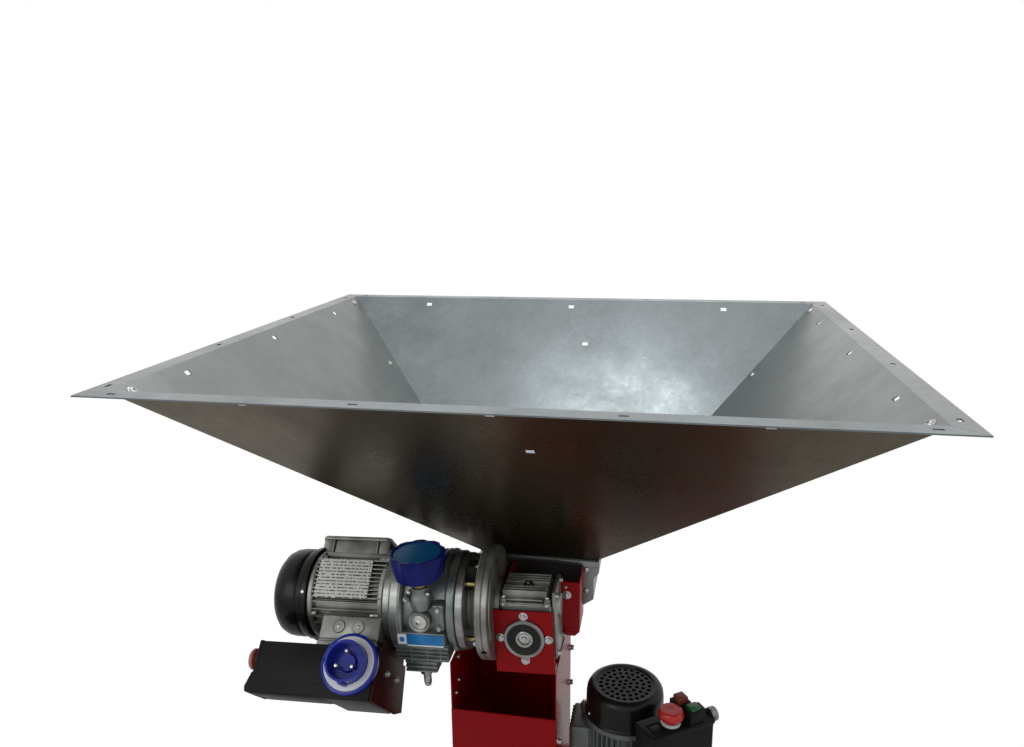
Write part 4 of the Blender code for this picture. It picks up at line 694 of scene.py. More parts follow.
def variator():
    """Cast body with a rim, ribs, sight glass, spindle boss, name plate, ribbed sump and drain plug."""
    low, high = reach("variator_housing", DRIVE)
    line = (0.0, WORM_OFFSET)
    left, right = low.x, high.x
    rim, radius, wall = 0.088, 0.082, 0.01
    body = turned("X", line, [(rim - 0.0015, left), (rim, left + 0.0015), (rim, left + 0.0185),
                              (rim - 0.0025, left + 0.0215), (radius - 0.0055, left + 0.0235),
                              (radius - 0.0045, left + 0.05), (radius - 0.0075, right - 0.0165),
                              (radius - 0.003, right - 0.0135), (radius, right - 0.0115),
                              (radius, right - 0.0012), (radius - 0.0012, right), (0.0136, right),
                              (0.0136, right - 0.008), (radius - wall, right - 0.008),
                              (radius - wall, left)], 120)
    ribs = []
    for step in range(5):
        place = right - 0.0195 - 0.0082 * step
        full = turned("X", line, [(radius - 0.009, place - 0.0014),
                                  (radius + 0.003 - 0.0006 * step, place - 0.0012),
                                  (radius + 0.003 - 0.0006 * step, place + 0.0012),
                                  (radius - 0.009, place + 0.0014)], 96)
        start, end = math.radians(28 + 3 * step), math.radians(118)
        for angle, side in ((start, 1), (end, -1)):
            normal = (0.0, -side * math.sin(angle), side * math.cos(angle))
            cut = bmesh.ops.bisect_plane(full, geom=full.verts[:] + full.edges[:] + full.faces[:],
                                         dist=0.00001, plane_co=(0.0, 0.0, WORM_OFFSET), plane_no=normal,
                                         clear_inner=True)
            edges = [item for item in cut["geom_cut"] if isinstance(item, bmesh.types.BMEdge)]
            bmesh.ops.holes_fill(full, edges=edges, sides=0)
        ribs.append(full)
    boss = reach("variator_handwheel", DRIVE)
    centre = ((boss[0].x + boss[1].x) / 2, (boss[0].y + boss[1].y) / 2)
    tower = turned("Z", centre, [(0.0, 0.066), (0.0155, 0.066), (0.019, 0.078), (0.016, 0.088),
                                 (0.014, 0.092), (0.014, 0.104), (0.0, 0.104)], 56, False)
    pad = block((left + 0.01, right - 0.015), (-0.0865, -0.04), (0.0015, 0.0265), 0.003)
    sump = block((left + 0.007, right - 0.011), (-0.0835, 0.052), (-0.027, 0.004), 0.003)
    keel = block((left + 0.018, right - 0.035), (-0.074, 0.046), (-0.054, -0.024), 0.0035)
    rows = [block((left + 0.0065 + 0.0015 * row, right - 0.0105 - 0.001 * row), (-0.0868, -0.05),
                  (-0.001 - 0.007 * row, 0.0022 - 0.007 * row), 0.001) for row in range(4)]
    rows += [block((left + 0.019, right - 0.036), (-0.0775, -0.05),
                   (-0.0345 - 0.008 * row, -0.031 - 0.008 * row), 0.001) for row in range(3)]
    posts = [block((u - 0.0015, u + 0.0015), (-0.0862, -0.05), (-0.026, 0.002), 0.0008)
             for u in (left + 0.034, left + 0.061, left + 0.083)]
    flat = block((right - 0.033, right - 0.014), (-0.085, -0.04), (0.03, 0.076), 0.004)
    small = [pillar("Y", spot, (-0.087, -0.05), 0.0058, sides=32, rounded=0.001)
             for spot in ((right - 0.023, 0.068), (right - 0.023, 0.036), (left + 0.033, 0.083),
                          (left + 0.036, 0.006))]
    made("variator_casting", CAST_GREY, body, *ribs, tower, pad, sump, keel, *rows, *posts, flat, *small,
         place=DRIVE, stands_for=("variator_housing",))
    bright = turned("X", line, [(rim + 0.0002, left + 0.003), (rim + 0.0007, left + 0.0036),
                                (rim + 0.0007, left + 0.015), (rim + 0.0002, left + 0.0156),
                                (rim - 0.001, left + 0.0156), (rim - 0.001, left + 0.003)], 120)
    made("variator_rim_face", CAST_BRIGHT, bright, place=DRIVE)
    sight = (left + 0.052, 0.045)
    seat = turned("Y", sight, [(0.019, -0.07), (0.0185, -0.085), (0.0172, -0.0872), (0.0145, -0.0872),
                               (0.013, -0.0862), (0.0125, -0.0845), (0.0, -0.0845), (0.0, -0.07)], 56, False)
    made("variator_sight_seat", CAST, seat, place=DRIVE)
    made("variator_sight_glass", GLASS_DISC, turned("Y", sight, [(0.0118, -0.084), (0.0118, -0.0862),
                                                                 (0.008, -0.0874), (0.0, -0.0878),
                                                                 (0.0, -0.084)], 48, False), place=DRIVE)
    made("variator_sight_plug", ZINC_BOLT, dome_head("Y", sight, -0.0876, -1, 0.0046, 0.002),
         *[dome_head("Y", spot, -0.087, -1, 0.0044, 0.0028) for spot in ((right - 0.023, 0.068),
                                                                         (right - 0.023, 0.036),
                                                                         (left + 0.033, 0.083))], place=DRIVE)
    label = (left + 0.014, right - 0.017)
    made("variator_name_plate", NAME_BLUE, block((label[0] + 0.015, label[1]), (-0.0876, -0.0862),
                                                 (0.0055, 0.0235), 0.0004), place=DRIVE)
    made("variator_name_plate_end", WHITE_RING, block((label[0], label[0] + 0.0148), (-0.0876, -0.0862),
                                                      (0.0055, 0.0235), 0.0004),
         block((label[0] + 0.015, label[1]), (-0.0874, -0.0862), (0.003, 0.0054), 0.0003), place=DRIVE)
    made("variator_name_plate_mark", NAME_BLUE, pillar("Y", (label[0] + 0.0074, 0.0145), (-0.0881, -0.087),
                                                       0.0045, sides=24, rounded=0.0003), place=DRIVE)
    stud = (left + 0.049, -0.06)
    drain = [pillar("Z", stud, (-0.062, -0.052), 0.011, sides=6, rounded=0.001),
             pillar("Z", stud, (-0.08, -0.06), 0.0066, sides=28, rounded=0.001),
             pillar("Z", stud, (-0.085, -0.0795), 0.005, 0.0064, 28, 0.0008)]
    made("variator_drain_stud", STEEL, *drain, place=DRIVE)
    made("variator_spindle_bush", BRONZE, turned("Z", centre, [(0.011, 0.1055), (0.013, 0.106), (0.013, 0.11),
                                                               (0.0118, 0.1112), (0.0112, 0.112),
                                                               (0.0112, 0.118), (0.01, 0.1192),
                                                               (0.0066, 0.1192), (0.0066, 0.1055)], 48),
         place=DRIVE)
    screws = [dome_head("Z", spot, 0.095, 1, 0.0036, 0.004) for spot in ring_of(3, 0.0185, centre, 3.6)]
    made("variator_boss_screws", ZINC_BOLT, *screws, place=DRIVE)


def handwheel():
    """Lobed dark-blue wheel, with a light-blue cap sunk in its top."""
    low, high = reach("variator_handwheel", DRIVE)
    centre = ((low.x + high.x) / 2, (low.y + high.y) / 2)
    base, top = high.z - 0.043, high.z
    radius = (high.x - low.x) / 2
    lobes, steps = 9, 108
    shape = bmesh.new()
    bmesh.ops.create_circle(shape, cap_ends=True, segments=steps, radius=1.0)
    levels = ((base, radius * 0.74, 0.0), (base + 0.003, radius * 0.82, 0.0),
              (base + 0.01, radius * 0.86, 0.2), (base + 0.024, radius * 0.93, 0.7),
              (top - 0.004, radius * 0.985, 1.0), (top - 0.001, radius * 0.975, 1.0),
              (top, radius * 0.945, 0.9), (top - 0.0006, radius * 0.865, 0.0),
              (top - 0.006, radius * 0.835, 0.0))
    face = shape.faces[:][0]
    ring = face.verts[:]
    for step, (height, spread, wave) in enumerate(levels):
        if step:
            lifted = bmesh.ops.extrude_face_region(shape, geom=[face])["geom"]
            if step > 1:
                bmesh.ops.delete(shape, geom=[face], context="FACES_ONLY")
            face = [item for item in lifted if isinstance(item, bmesh.types.BMFace)][0]
            ring = face.verts[:]
        for vert in ring:
            angle = math.atan2(vert.co.y, vert.co.x)
            ray = spread * (1.0 - 0.085 * wave * (0.5 + 0.5 * math.cos(lobes * angle)) ** 2)
            vert.co = (ray * math.cos(angle), ray * math.sin(angle), height)
    moved(shape, Matrix.Translation((*centre, 0.0)))
    spindle = pillar("Z", centre, (low.z, base + 0.002), 0.006, sides=32)
    hub = turned("Z", centre, [(0.0, base - 0.0062), (0.015, base - 0.0062), (0.018, base - 0.002),
                               (0.018, base + 0.001), (0.0, base + 0.001)], 48, False)
    made("handwheel_lobed", NAVY, shape, hub, body="handwheel", place=DRIVE,
         stands_for=("variator_handwheel",))
    made("handwheel_spindle", STEEL, spindle, body="handwheel", place=DRIVE)
    made("handwheel_cap", CAP_BLUE, turned("Z", centre, [(0.0, top - 0.0062), (radius * 0.832, top - 0.0062),
                                                         (radius * 0.832, top - 0.0034),
                                                         (radius * 0.815, top - 0.0024),
                                                         (radius * 0.55, top - 0.002), (0.0, top - 0.0018)],
                                           96, False), body="handwheel", place=DRIVE)


# ---------------------------------------------------------------- drive motor

def finned_core(axis, centre, span, core, tip, bore, count, skip, thick=0.0022, taller=0.0):
    """A hollow stator with straight fins; skip says which fin angles, in degrees, stay bare."""
    wall = 0.012
    shell = turned(axis, centre, [(core, span[0]), (core, span[1]), (bore, span[1]), (bore, span[1] - wall),
                                  (core - 0.014, span[1] - wall), (core - 0.014, span[0] + wall),
                                  (bore, span[0] + wall), (bore, span[0])], 96)
    fins = []
    for step in range(count):
        angle = 360.0 * (step + 0.5) / count
        if any(low < angle < high for low, high in skip):
            continue
        fin = block((core - 0.002, tip), (-thick / 2, thick / 2), (span[0] + 0.01, span[1] - 0.004 + taller),
                    thick * 0.35)
        spun(fin, angle)
        fins.append(moved(fin, LAID[axis] @ Matrix.Translation((*centre, 0.0))))
    return shell, fins


MOTOR_LOW, MOTOR_HIGH = reach("roller_motor_frame", MOTOR)
MOTOR_RADIUS = 0.07
MOTOR_BORE = 0.0076


def drive_motor():
    """Finned stator, end shields, foot, rating plate, terminal box with knock-outs, and screws."""
    left, right = MOTOR_LOW.x, MOTOR_HIGH.x
    foot_top = MOTOR_HIGH.z
    shell, fins = finned_core("X", MIDDLE, (left, right - 0.0065), MOTOR_RADIUS - 0.0085,
                              MOTOR_RADIUS + 0.0008, MOTOR_BORE, 34,
                              ((60.0, 120.0), (157.0, 203.0), (240.0, 300.0)))
    bars = [block((left + 0.009, right - 0.016), (-MOTOR_RADIUS - 0.0006, -MOTOR_RADIUS + 0.018),
                  (z - 0.0013, z + 0.0013), 0.0007) for z in [-0.0245 + 0.007 * row for row in range(10)]]
    flange_back = right - 0.0127
    flange = turned("X", MIDDLE, [(0.079, right), (0.0818, right - 0.0014), (0.0818, flange_back + 0.0022),
                                  (0.0796, flange_back), (0.0735, flange_back - 0.004),
                                  (0.0722, flange_back - 0.01), (0.06, flange_back - 0.01),
                                  (MOTOR_BORE, flange_back), (MOTOR_BORE, right)], 120)
    tail = turned("X", MIDDLE, [(0.07, left + 0.0002), (0.0722, left + 0.0016), (0.0722, left + 0.0075),
                                (0.07, left + 0.0095), (0.06, left + 0.0095), (0.06, left + 0.0002)], 120)
    span = (left - 0.009, right - 0.03)
    corner = 0.007
    plan = [(span[0], -0.036 + corner), (span[0] + corner, -0.036), (span[1] - corner, -0.036),
            (span[1], -0.036 + corner), (span[1], 0.036 - corner), (span[1] - corner, 0.036),
            (span[0] + corner, 0.036), (span[0], 0.036 - corner)]
    foot = outline("Z", plan, (foot_top - 0.0075, foot_top), 0.0022, 3)
    middle = foot_top - 0.006
    sides = []
    for y in (-0.03, 0.03):
        for u in ((span[0] + 0.003, span[0] + 0.02), (span[0] + 0.0255, span[1] - 0.026),
                  (span[1] - 0.0205, span[1] - 0.003)):
            sides.append(block(u, (y - 0.0018, y + 0.0018), (MOTOR_RADIUS - 0.016, middle), 0.001))
        for u in (span[0] + 0.0228, span[1] - 0.0232):
            sides.append(block((u - 0.0016, u + 0.0016), (y - 0.0045, y + 0.0045),
                               (MOTOR_RADIUS - 0.018, middle), 0.0008))
    inner = [block((span[0] + 0.004, span[1] - 0.004), (-0.029, 0.029),
                   (MOTOR_RADIUS - 0.014, MOTOR_RADIUS - 0.002), 0.0015)]
    ledges = [block((left + 0.006, right - 0.02), (y - 0.0016, y + 0.0016), (0.05, 0.0605), 0.0008)
              for y in (-0.04, 0.04)]
    made("roller_motor_stator", CAST, shell, *fins, *bars, tail, foot, *sides, *inner, *ledges, place=MOTOR,
         stands_for=("roller_motor_frame",))
    made("roller_motor_flange", CAST_BRIGHT, flange, place=MOTOR)
    rivets_z = (-0.0235, 0.0355)
    plate = block((left + 0.014, right - 0.04), (-MOTOR_RADIUS - 0.0022, -MOTOR_RADIUS - 0.0008),
                  (-0.027, 0.039), 0.0004, 1)
    rating = made("roller_motor_rating_plate", RATING, plate, place=MOTOR)
    lay_flat(rating, MOTOR, 0, 2, 0.07)
    rivets = [dome_head("Y", (u, z), -MOTOR_RADIUS - 0.002, -1, 0.0018, 0.001)
              for u in (left + 0.0165, right - 0.0425) for z in rivets_z]
    lugs = []
    for angle in (45, 135, 225, 315):
        spot = (0.0655 * math.cos(math.radians(angle)), 0.0655 * math.sin(math.radians(angle)))
        lugs.append(pillar("X", spot, (left + 0.001, left + 0.016), 0.0062, sides=28, rounded=0.0012))
        lugs.append(pillar("X", spot, (flange_back - 0.02, flange_back), 0.0066, sides=28, rounded=0.0012))
        rivets.append(hex_head("X", spot, flange_back - 0.02, -1, 0.0044, 0.0034))
    made("roller_motor_lugs", CAST, *lugs, place=MOTOR)
    made("roller_motor_screws", ZINC_BOLT, *rivets, place=MOTOR)
    terminal_box()
    fan_cover()


def lay_flat(piece, place, across, up, size):
    """Give a flat plate its own UV map from two axes of the frame place, size metres to one turn."""
    back = place.inverted()
    layer = piece.data.uv_layers.new(name="flat")
    for loop in piece.data.loops:
        spot = back @ piece.data.vertices[loop.vertex_index].co
        layer.data[loop.index].uv = (spot[across] / size, spot[up] / size)


def terminal_box():
    """Cast terminal box with a lid, its corner screws and two knock-out plugs in the front wall."""
    low, high = reach("terminal_box", MOTOR)
    lid = low.z + 0.012
    wall = block((low.x + 0.0012, high.x - 0.0004), (low.y + 0.0012, high.y - 0.0012), (lid - 0.0004, -0.05),
                 0.004, 3)
    cap = block((low.x, high.x), (low.y, high.y), (low.z, lid - 0.0012), 0.0034, 3)
    seat = block((low.x + 0.003, high.x - 0.003), (low.y + 0.003, high.y - 0.003), (lid - 0.003, lid + 0.002))
    step = block((low.x + 0.004, high.x - 0.004), (low.y + 0.01, high.y - 0.01), (-0.056, -0.048), 0.002)
    plugs = [turned("Y", (u, -0.069), [(0.0108, low.y + 0.003), (0.0108, low.y - 0.0004),
                                       (0.0098, low.y - 0.0012), (0.0086, low.y - 0.0012),
                                       (0.0082, low.y - 0.0002), (0.0, low.y - 0.0004), (0.0, low.y + 0.003)],
                    48, False) for u in (low.x + 0.033, low.x + 0.0665)]
    made("terminal_box_casting", CAST, wall, cap, seat, step, *plugs, place=MOTOR,
         stands_for=("terminal_box",))
    screws = [dome_head("Z", (u, v), low.z + 0.0003, -1, 0.004, 0.0012) for u in (low.x + 0.01, high.x - 0.01)
              for v in (low.y + 0.01, high.y - 0.01)]
    screws += [dome_head("Y", (u, -0.069), low.y - 0.0003, -1, 0.003, 0.001)
               for u in (low.x + 0.033, low.x + 0.0665)]
    made("terminal_box_screws", ZINC_BOLT, *screws, place=MOTOR)


def grille_holes(axis, centre, depth, rings, pitch, radius, sides=14):
    """Cutters for round holes set in rings."""
    tools = [pillar(axis, centre, depth, radius, sides=sides)]
    for ring in range(1, rings + 1):
        tools += [pillar(axis, spot, depth, radius, sides=sides)
                  for spot in ring_of(6 * ring, pitch * ring, centre, 0.4 * ring)]
    return tools


def fan_cover():
    """Black two-step cover over the motor's fan, with its lip and screws."""
    low, high = reach("roller_motor_fan_cover", MOTOR)
    mouth, end = high.x, low.x
    outer = [(0.0762, mouth), (0.0772, mouth - 0.0012), (0.0772, mouth - 0.0085), (0.076, mouth - 0.01),
             (0.0728, mouth - 0.0118), (0.0722, mouth - 0.019), (0.0734, mouth - 0.021),
             (0.074, mouth - 0.023), (0.074, end + 0.03), (0.0725, end + 0.02), (0.068, end + 0.011),
             (0.06, end + 0.004), (0.051, end + 0.0006), (0.048, end)]
    inner = [(0.048, end + 0.0018), (0.05, end + 0.0024), (0.0585, end + 0.0058), (0.0662, end + 0.0124),
             (0.0705, end + 0.0208), (0.072, end + 0.03), (0.072, mouth - 0.023), (0.0704, mouth - 0.019),
             (0.071, mouth - 0.0118), (0.0742, mouth - 0.009), (0.0742, mouth)]
    shell = turned("X", MIDDLE, [(0.0, end)] + outer[::-1] + inner[::-1] + [(0.0, end + 0.0018)], 120, False)
    shell = carved(shell, *grille_holes("X", MIDDLE, (end - 0.004, end + 0.006), 4, 0.0112, 0.0038))
    ring = turned("X", MIDDLE, [(0.0745, mouth - 0.0002), (0.0745, mouth - 0.006), (0.061, mouth - 0.006),
                                (0.061, mouth - 0.0002)], 96)
    made("roller_motor_cowl", BLACK_GLOSS, shell, ring, place=MOTOR, stands_for=("roller_motor_fan_cover",))
    screws = []
    for angle in (-75, 15, 105, 195, -120):
        screws.append(spun(dome_head("Z", (mouth - 0.005, 0.0), 0.077, 1, 0.0036, 0.0022), angle, "X"))
    made("roller_motor_cowl_screws", ZINC_BOLT, *screws, place=MOTOR)


# ---------------------------------------------------------------- plug and switch

def plug_switch():
    """Black switch box with a stepped end, stop button, and round inlet with shroud and pins."""
    low, high = reach("plug_switch_housing", MOTOR)
    lid = low.x + 0.009
    deep = high.x - 0.078
    shell = block((lid, high.x - 0.004), (low.y, low.y + 0.058), (low.z, high.z), 0.004, 3)
    rear = block((deep, high.x), (low.y, high.y), (low.z - 0.0002, high.z), 0.004, 3)
    ridge = block((lid - 0.0015, lid + 0.006), (low.y - 0.0004, low.y + 0.059),
                  (low.z - 0.0004, high.z + 0.0004), 0.002)
    tip = outline("Y", [(low.x - 0.004, low.z + 0.01), (low.x - 0.002, low.z + 0.002), (lid, low.z),
                        (lid, low.z + 0.036), (low.x + 0.003, low.z + 0.032)], (low.y + 0.004, low.y + 0.05),
                  0.0022)
    under = block((lid + 0.01, deep + 0.002), (low.y + 0.004, low.y + 0.054), (low.z - 0.0008, low.z + 0.012),
                  0.0024)
    back = block((lid + 0.03, deep + 0.002), (low.y + 0.05, high.y - 0.012), (low.z + 0.02, high.z - 0.004),
                 0.004)
    frame_edge = block((lid + 0.008, high.x - 0.052), (low.y - 0.0008, low.y + 0.004),
                       (low.z + 0.018, high.z - 0.006), 0.0016)
    made("plug_switch_box", BLACK, shell, rear, back, ridge, tip, under, frame_edge, place=MOTOR,
         stands_for=("plug_switch_housing",))
    stop_low, stop_high = reach("plug_switch_stop_button", MOTOR)
    aside, above = -0.012, 0.006          # of the CAD node's middle
    spot = ((stop_low.y + stop_high.y) / 2 + aside, (stop_low.z + stop_high.z) / 2 + above)
    head = turned("X", spot, [(0.0, stop_low.x), (0.01, stop_low.x), (0.015, stop_low.x + 0.0012),
                              (0.0168, stop_low.x + 0.0035), (0.0168, stop_low.x + 0.0075),
                              (0.014, stop_low.x + 0.009), (0.0078, stop_low.x + 0.0092),
                              (0.0078, low.x + 0.0018), (0.0, low.x + 0.0018)], 56, False)
    made("plug_switch_button", BUTTON_PINK, head, body="plug_stop_button", place=MOTOR,
         stands_for=("plug_switch_stop_button",))
    collar = turned("X", spot, [(0.0125, lid + 0.0004), (0.0125, low.x + 0.0004), (0.0112, low.x - 0.0004),
                                (0.009, low.x - 0.0004), (0.009, lid + 0.0004)], 48)
    made("plug_switch_collar", BLACK, collar, place=MOTOR)
    inlet()


def inlet():
    """Blue power inlet: seat, rim, pale ring, shroud with a key, and three pins."""
    low, high = reach("power_inlet", MOTOR)
    centre = ((low.x + high.x) / 2, (low.z + high.z) / 2)
    face, tip = high.y, low.y
    radius = (high.x - low.x) / 2
    seat = block((centre[0] - 0.044, centre[0] + 0.0385), (face - 0.0016, face + 0.0002),
                 (centre[1] - 0.05, centre[1] + 0.03), 0.0008)
    made("power_inlet_seat", BLACK, seat, place=MOTOR)
    rim = turned("Y", centre, [(radius - 0.002, face), (radius, face - 0.003), (radius, face - 0.009),
                               (radius - 0.002, face - 0.0118), (radius - 0.004, face - 0.0122),
                               (radius - 0.005, face - 0.0108), (radius - 0.005, face)], 96)
    shroud = turned("Y", centre, [(0.0312, face), (0.0305, tip + 0.012), (0.0312, tip + 0.0112),
                                  (0.0312, tip + 0.0068), (0.0302, tip + 0.006), (0.028, tip + 0.006),
                                  (0.027, tip + 0.007), (0.0262, face - 0.01), (0.014, face - 0.0096),
                                  (0.012, face - 0.015), (0.0, face - 0.015), (0.0, face)], 96, False)
    key = block((centre[0] - 0.004, centre[0] + 0.004), (tip + 0.007, face - 0.002),
                (centre[1] - 0.0345, centre[1] - 0.03), 0.0012)
    made("power_inlet_body", BLUE, rim, shroud, key, place=MOTOR, stands_for=("power_inlet",))
    pale = turned("Y", centre, [(radius - 0.0052, face - 0.001), (radius - 0.0052, face - 0.0112),
                                (0.0314, face - 0.0118), (0.0314, face - 0.001)], 96)
    made("power_inlet_ring", WHITE_RING, pale, place=MOTOR)
    pins = [turned("Y", spot, [(0.0, tip + 0.0092), (0.0022, tip + 0.0096), (0.0034, tip + 0.0112),
                               (0.0034, face - 0.008), (0.0, face - 0.008)], 28, False)
            for spot in ring_of(3, 0.015, centre, math.radians(90))]
    made("power_inlet_pins", ZINC_BOLT, *pins, place=MOTOR)


def switch_bracket():
    """Five-sided plate under the terminal box, with a soft edge and two bolts; its near-black red is painted
    shade.
    """
    low, high = reach("switch_bracket", MOTOR)
    face = [(-0.08, high.z), (-0.08, low.z), (0.04, low.z), (0.077, low.z + 0.008), (0.061, high.z)]
    plate = outline("X", face, (low.x, high.x), 0.0008)
    tab = block((low.x - 0.0003, high.x - 0.0003), (-0.058, 0.048), (high.z - 0.001, high.z + 0.016), 0.0008)
    made("switch_bracket_plate", SHADED_RED, plate, tab, place=MOTOR, stands_for=("switch_bracket",))
    made("switch_bracket_bolts", ZINC_BOLT, *[hex_head("X", spot, high.x, 1, 0.0042, 0.0034)
                                              for spot in ((-0.03, high.z - 0.03), (0.02, high.z - 0.03))],
         place=MOTOR)


# ---------------------------------------------------------------- drum motor

COWL_RADIUS = 0.0685
GEAR_HEAD = 0.12          # height of the gear head under the motor
COWL_MOUTH = 0.68         # height of the cover's open edge
COWL_END = 0.736          # height of its holed end


def drum_motor():
    """Upright finned motor, its end shields, lugs and the black cover with round holes."""
    low, high = reach("drum_motor_frame", DRUM)
    foot, low.z = low.z, low.z + GEAR_HEAD
    mouth, end = COWL_MOUTH, COWL_END
    head = turned("Z", MIDDLE, [(0.0825, foot), (0.0825, foot + 0.0085), (0.0805, foot + 0.0105),
                                (0.062, foot + 0.0115), (0.0585, foot + 0.015), (0.056, foot + 0.06),
                                (0.06, low.z - 0.012), (0.064, low.z - 0.008), (0.064, low.z + 0.0005),
                                (0.0101, low.z + 0.0005), (0.0101, foot)], 96)
    webs = []
    for angle in range(0, 360, 45):
        web = outline("Y", [(0.054, foot + 0.01), (0.079, foot + 0.01), (0.06, foot + 0.045),
                            (0.054, foot + 0.06)], (-0.0026, 0.0026), 0.001)
        webs.append(spun(web, angle))
    made("drum_motor_gear_head", FRAME_GREY, head, *webs, place=DRUM)
    shell, fins = finned_core("Z", MIDDLE, (low.z, high.z), 0.06, 0.0692, 0.0101, 40, (), 0.0021,
                              mouth - high.z)
    sleeve = turned("Z", MIDDLE, [(0.06, high.z - 0.001), (0.06, mouth), (0.0578, mouth),
                                  (0.0578, high.z - 0.001)], 96)
    side = block((-0.094, -0.058), (-0.036, 0.036), (mouth - 0.15, mouth - 0.02), 0.005, 3)
    ribs = [block((-0.0965, -0.08), (y - 0.0014, y + 0.0014), (mouth - 0.146, mouth - 0.024), 0.0009)
            for y in (-0.03, -0.02, -0.01, 0.0, 0.01, 0.02, 0.03)]
    base = turned("Z", MIDDLE, [(0.069, low.z), (0.0704, low.z + 0.0014), (0.0704, low.z + 0.01),
                                (0.068, low.z + 0.013), (0.059, low.z + 0.013), (0.059, low.z)], 96)
    cap = turned("Z", MIDDLE, [(0.0665, mouth - 0.013), (0.0692, mouth - 0.0105), (0.0692, mouth - 0.0012),
                               (0.068, mouth), (0.059, mouth), (0.059, mouth - 0.013)], 96)
    made("drum_motor_stator", FRAME_GREY, shell, sleeve, side, *ribs, *fins, base, cap, place=DRUM,
         stands_for=("drum_motor_frame",))
    lugs, screws = [], []
    for angle in range(22, 382, 90):
        screws.append(spun(hex_head("Z", (0.0735, 0.0), foot + 0.009, 1, 0.005, 0.004), angle))
    for angle in (85, 172, 298):
        ear = outline("Z", [(0.06, -0.011), (0.076, -0.009), (0.081, -0.004), (0.081, 0.004), (0.076, 0.009),
                            (0.06, 0.011)], (mouth - 0.016, mouth - 0.001), 0.0018)
        lugs.append(spun(ear, angle))
        lugs.append(spun(pillar("Z", (0.0735, 0.0), (mouth - 0.06, mouth - 0.014), 0.0055, sides=28,
                                rounded=0.001), angle))
        screws.append(spun(hex_head("Z", (0.0735, 0.0), mouth - 0.001, 1, 0.0044, 0.0036), angle))
    made("drum_motor_lugs", FRAME_GREY, *lugs, place=DRUM)
    outer = [(0.07, mouth), (0.0712, mouth + 0.0008), (0.0712, mouth + 0.004), (0.0695, mouth + 0.006),
             (0.0688, mouth + 0.012), (COWL_RADIUS, end - 0.02), (0.0672, end - 0.01), (0.0635, end - 0.0038),
             (0.0575, end - 0.0006), (0.0535, end), (0.051, end - 0.0008), (0.0495, end - 0.003)]
    inner = [(0.048, end - 0.0046), (0.056, end - 0.003), (0.0615, end - 0.0058), (0.065, end - 0.011),
             (0.0664, end - 0.02), (0.0668, mouth + 0.012), (0.0676, mouth + 0.005), (0.068, mouth)]
    shell = turned("Z", MIDDLE, [(0.0, end - 0.003)] + outer[::-1] + inner[::-1] + [(0.0, end - 0.0046)], 120,
                   False)
    holes = grille_holes("Z", MIDDLE, (end - 0.01, end + 0.004), 4, 0.0108, 0.0037, 16)
    shell = carved(shell, *holes)
    made("drum_motor_cowl", BLACK_GLOSS, shell, place=DRUM, stands_for=("drum_motor_fan_cover",))
    for angle in (-62, 28, 118, 208):
        screws.append(spun(dome_head("X", (0.0, mouth + 0.009), 0.0688, 1, 0.0034, 0.0022), angle))
    screws.append(spun(hex_head("X", (0.0, mouth - 0.008), 0.069, 1, 0.0038, 0.003), -68))
    made("drum_motor_screws", ZINC_BOLT, *screws, place=DRUM)


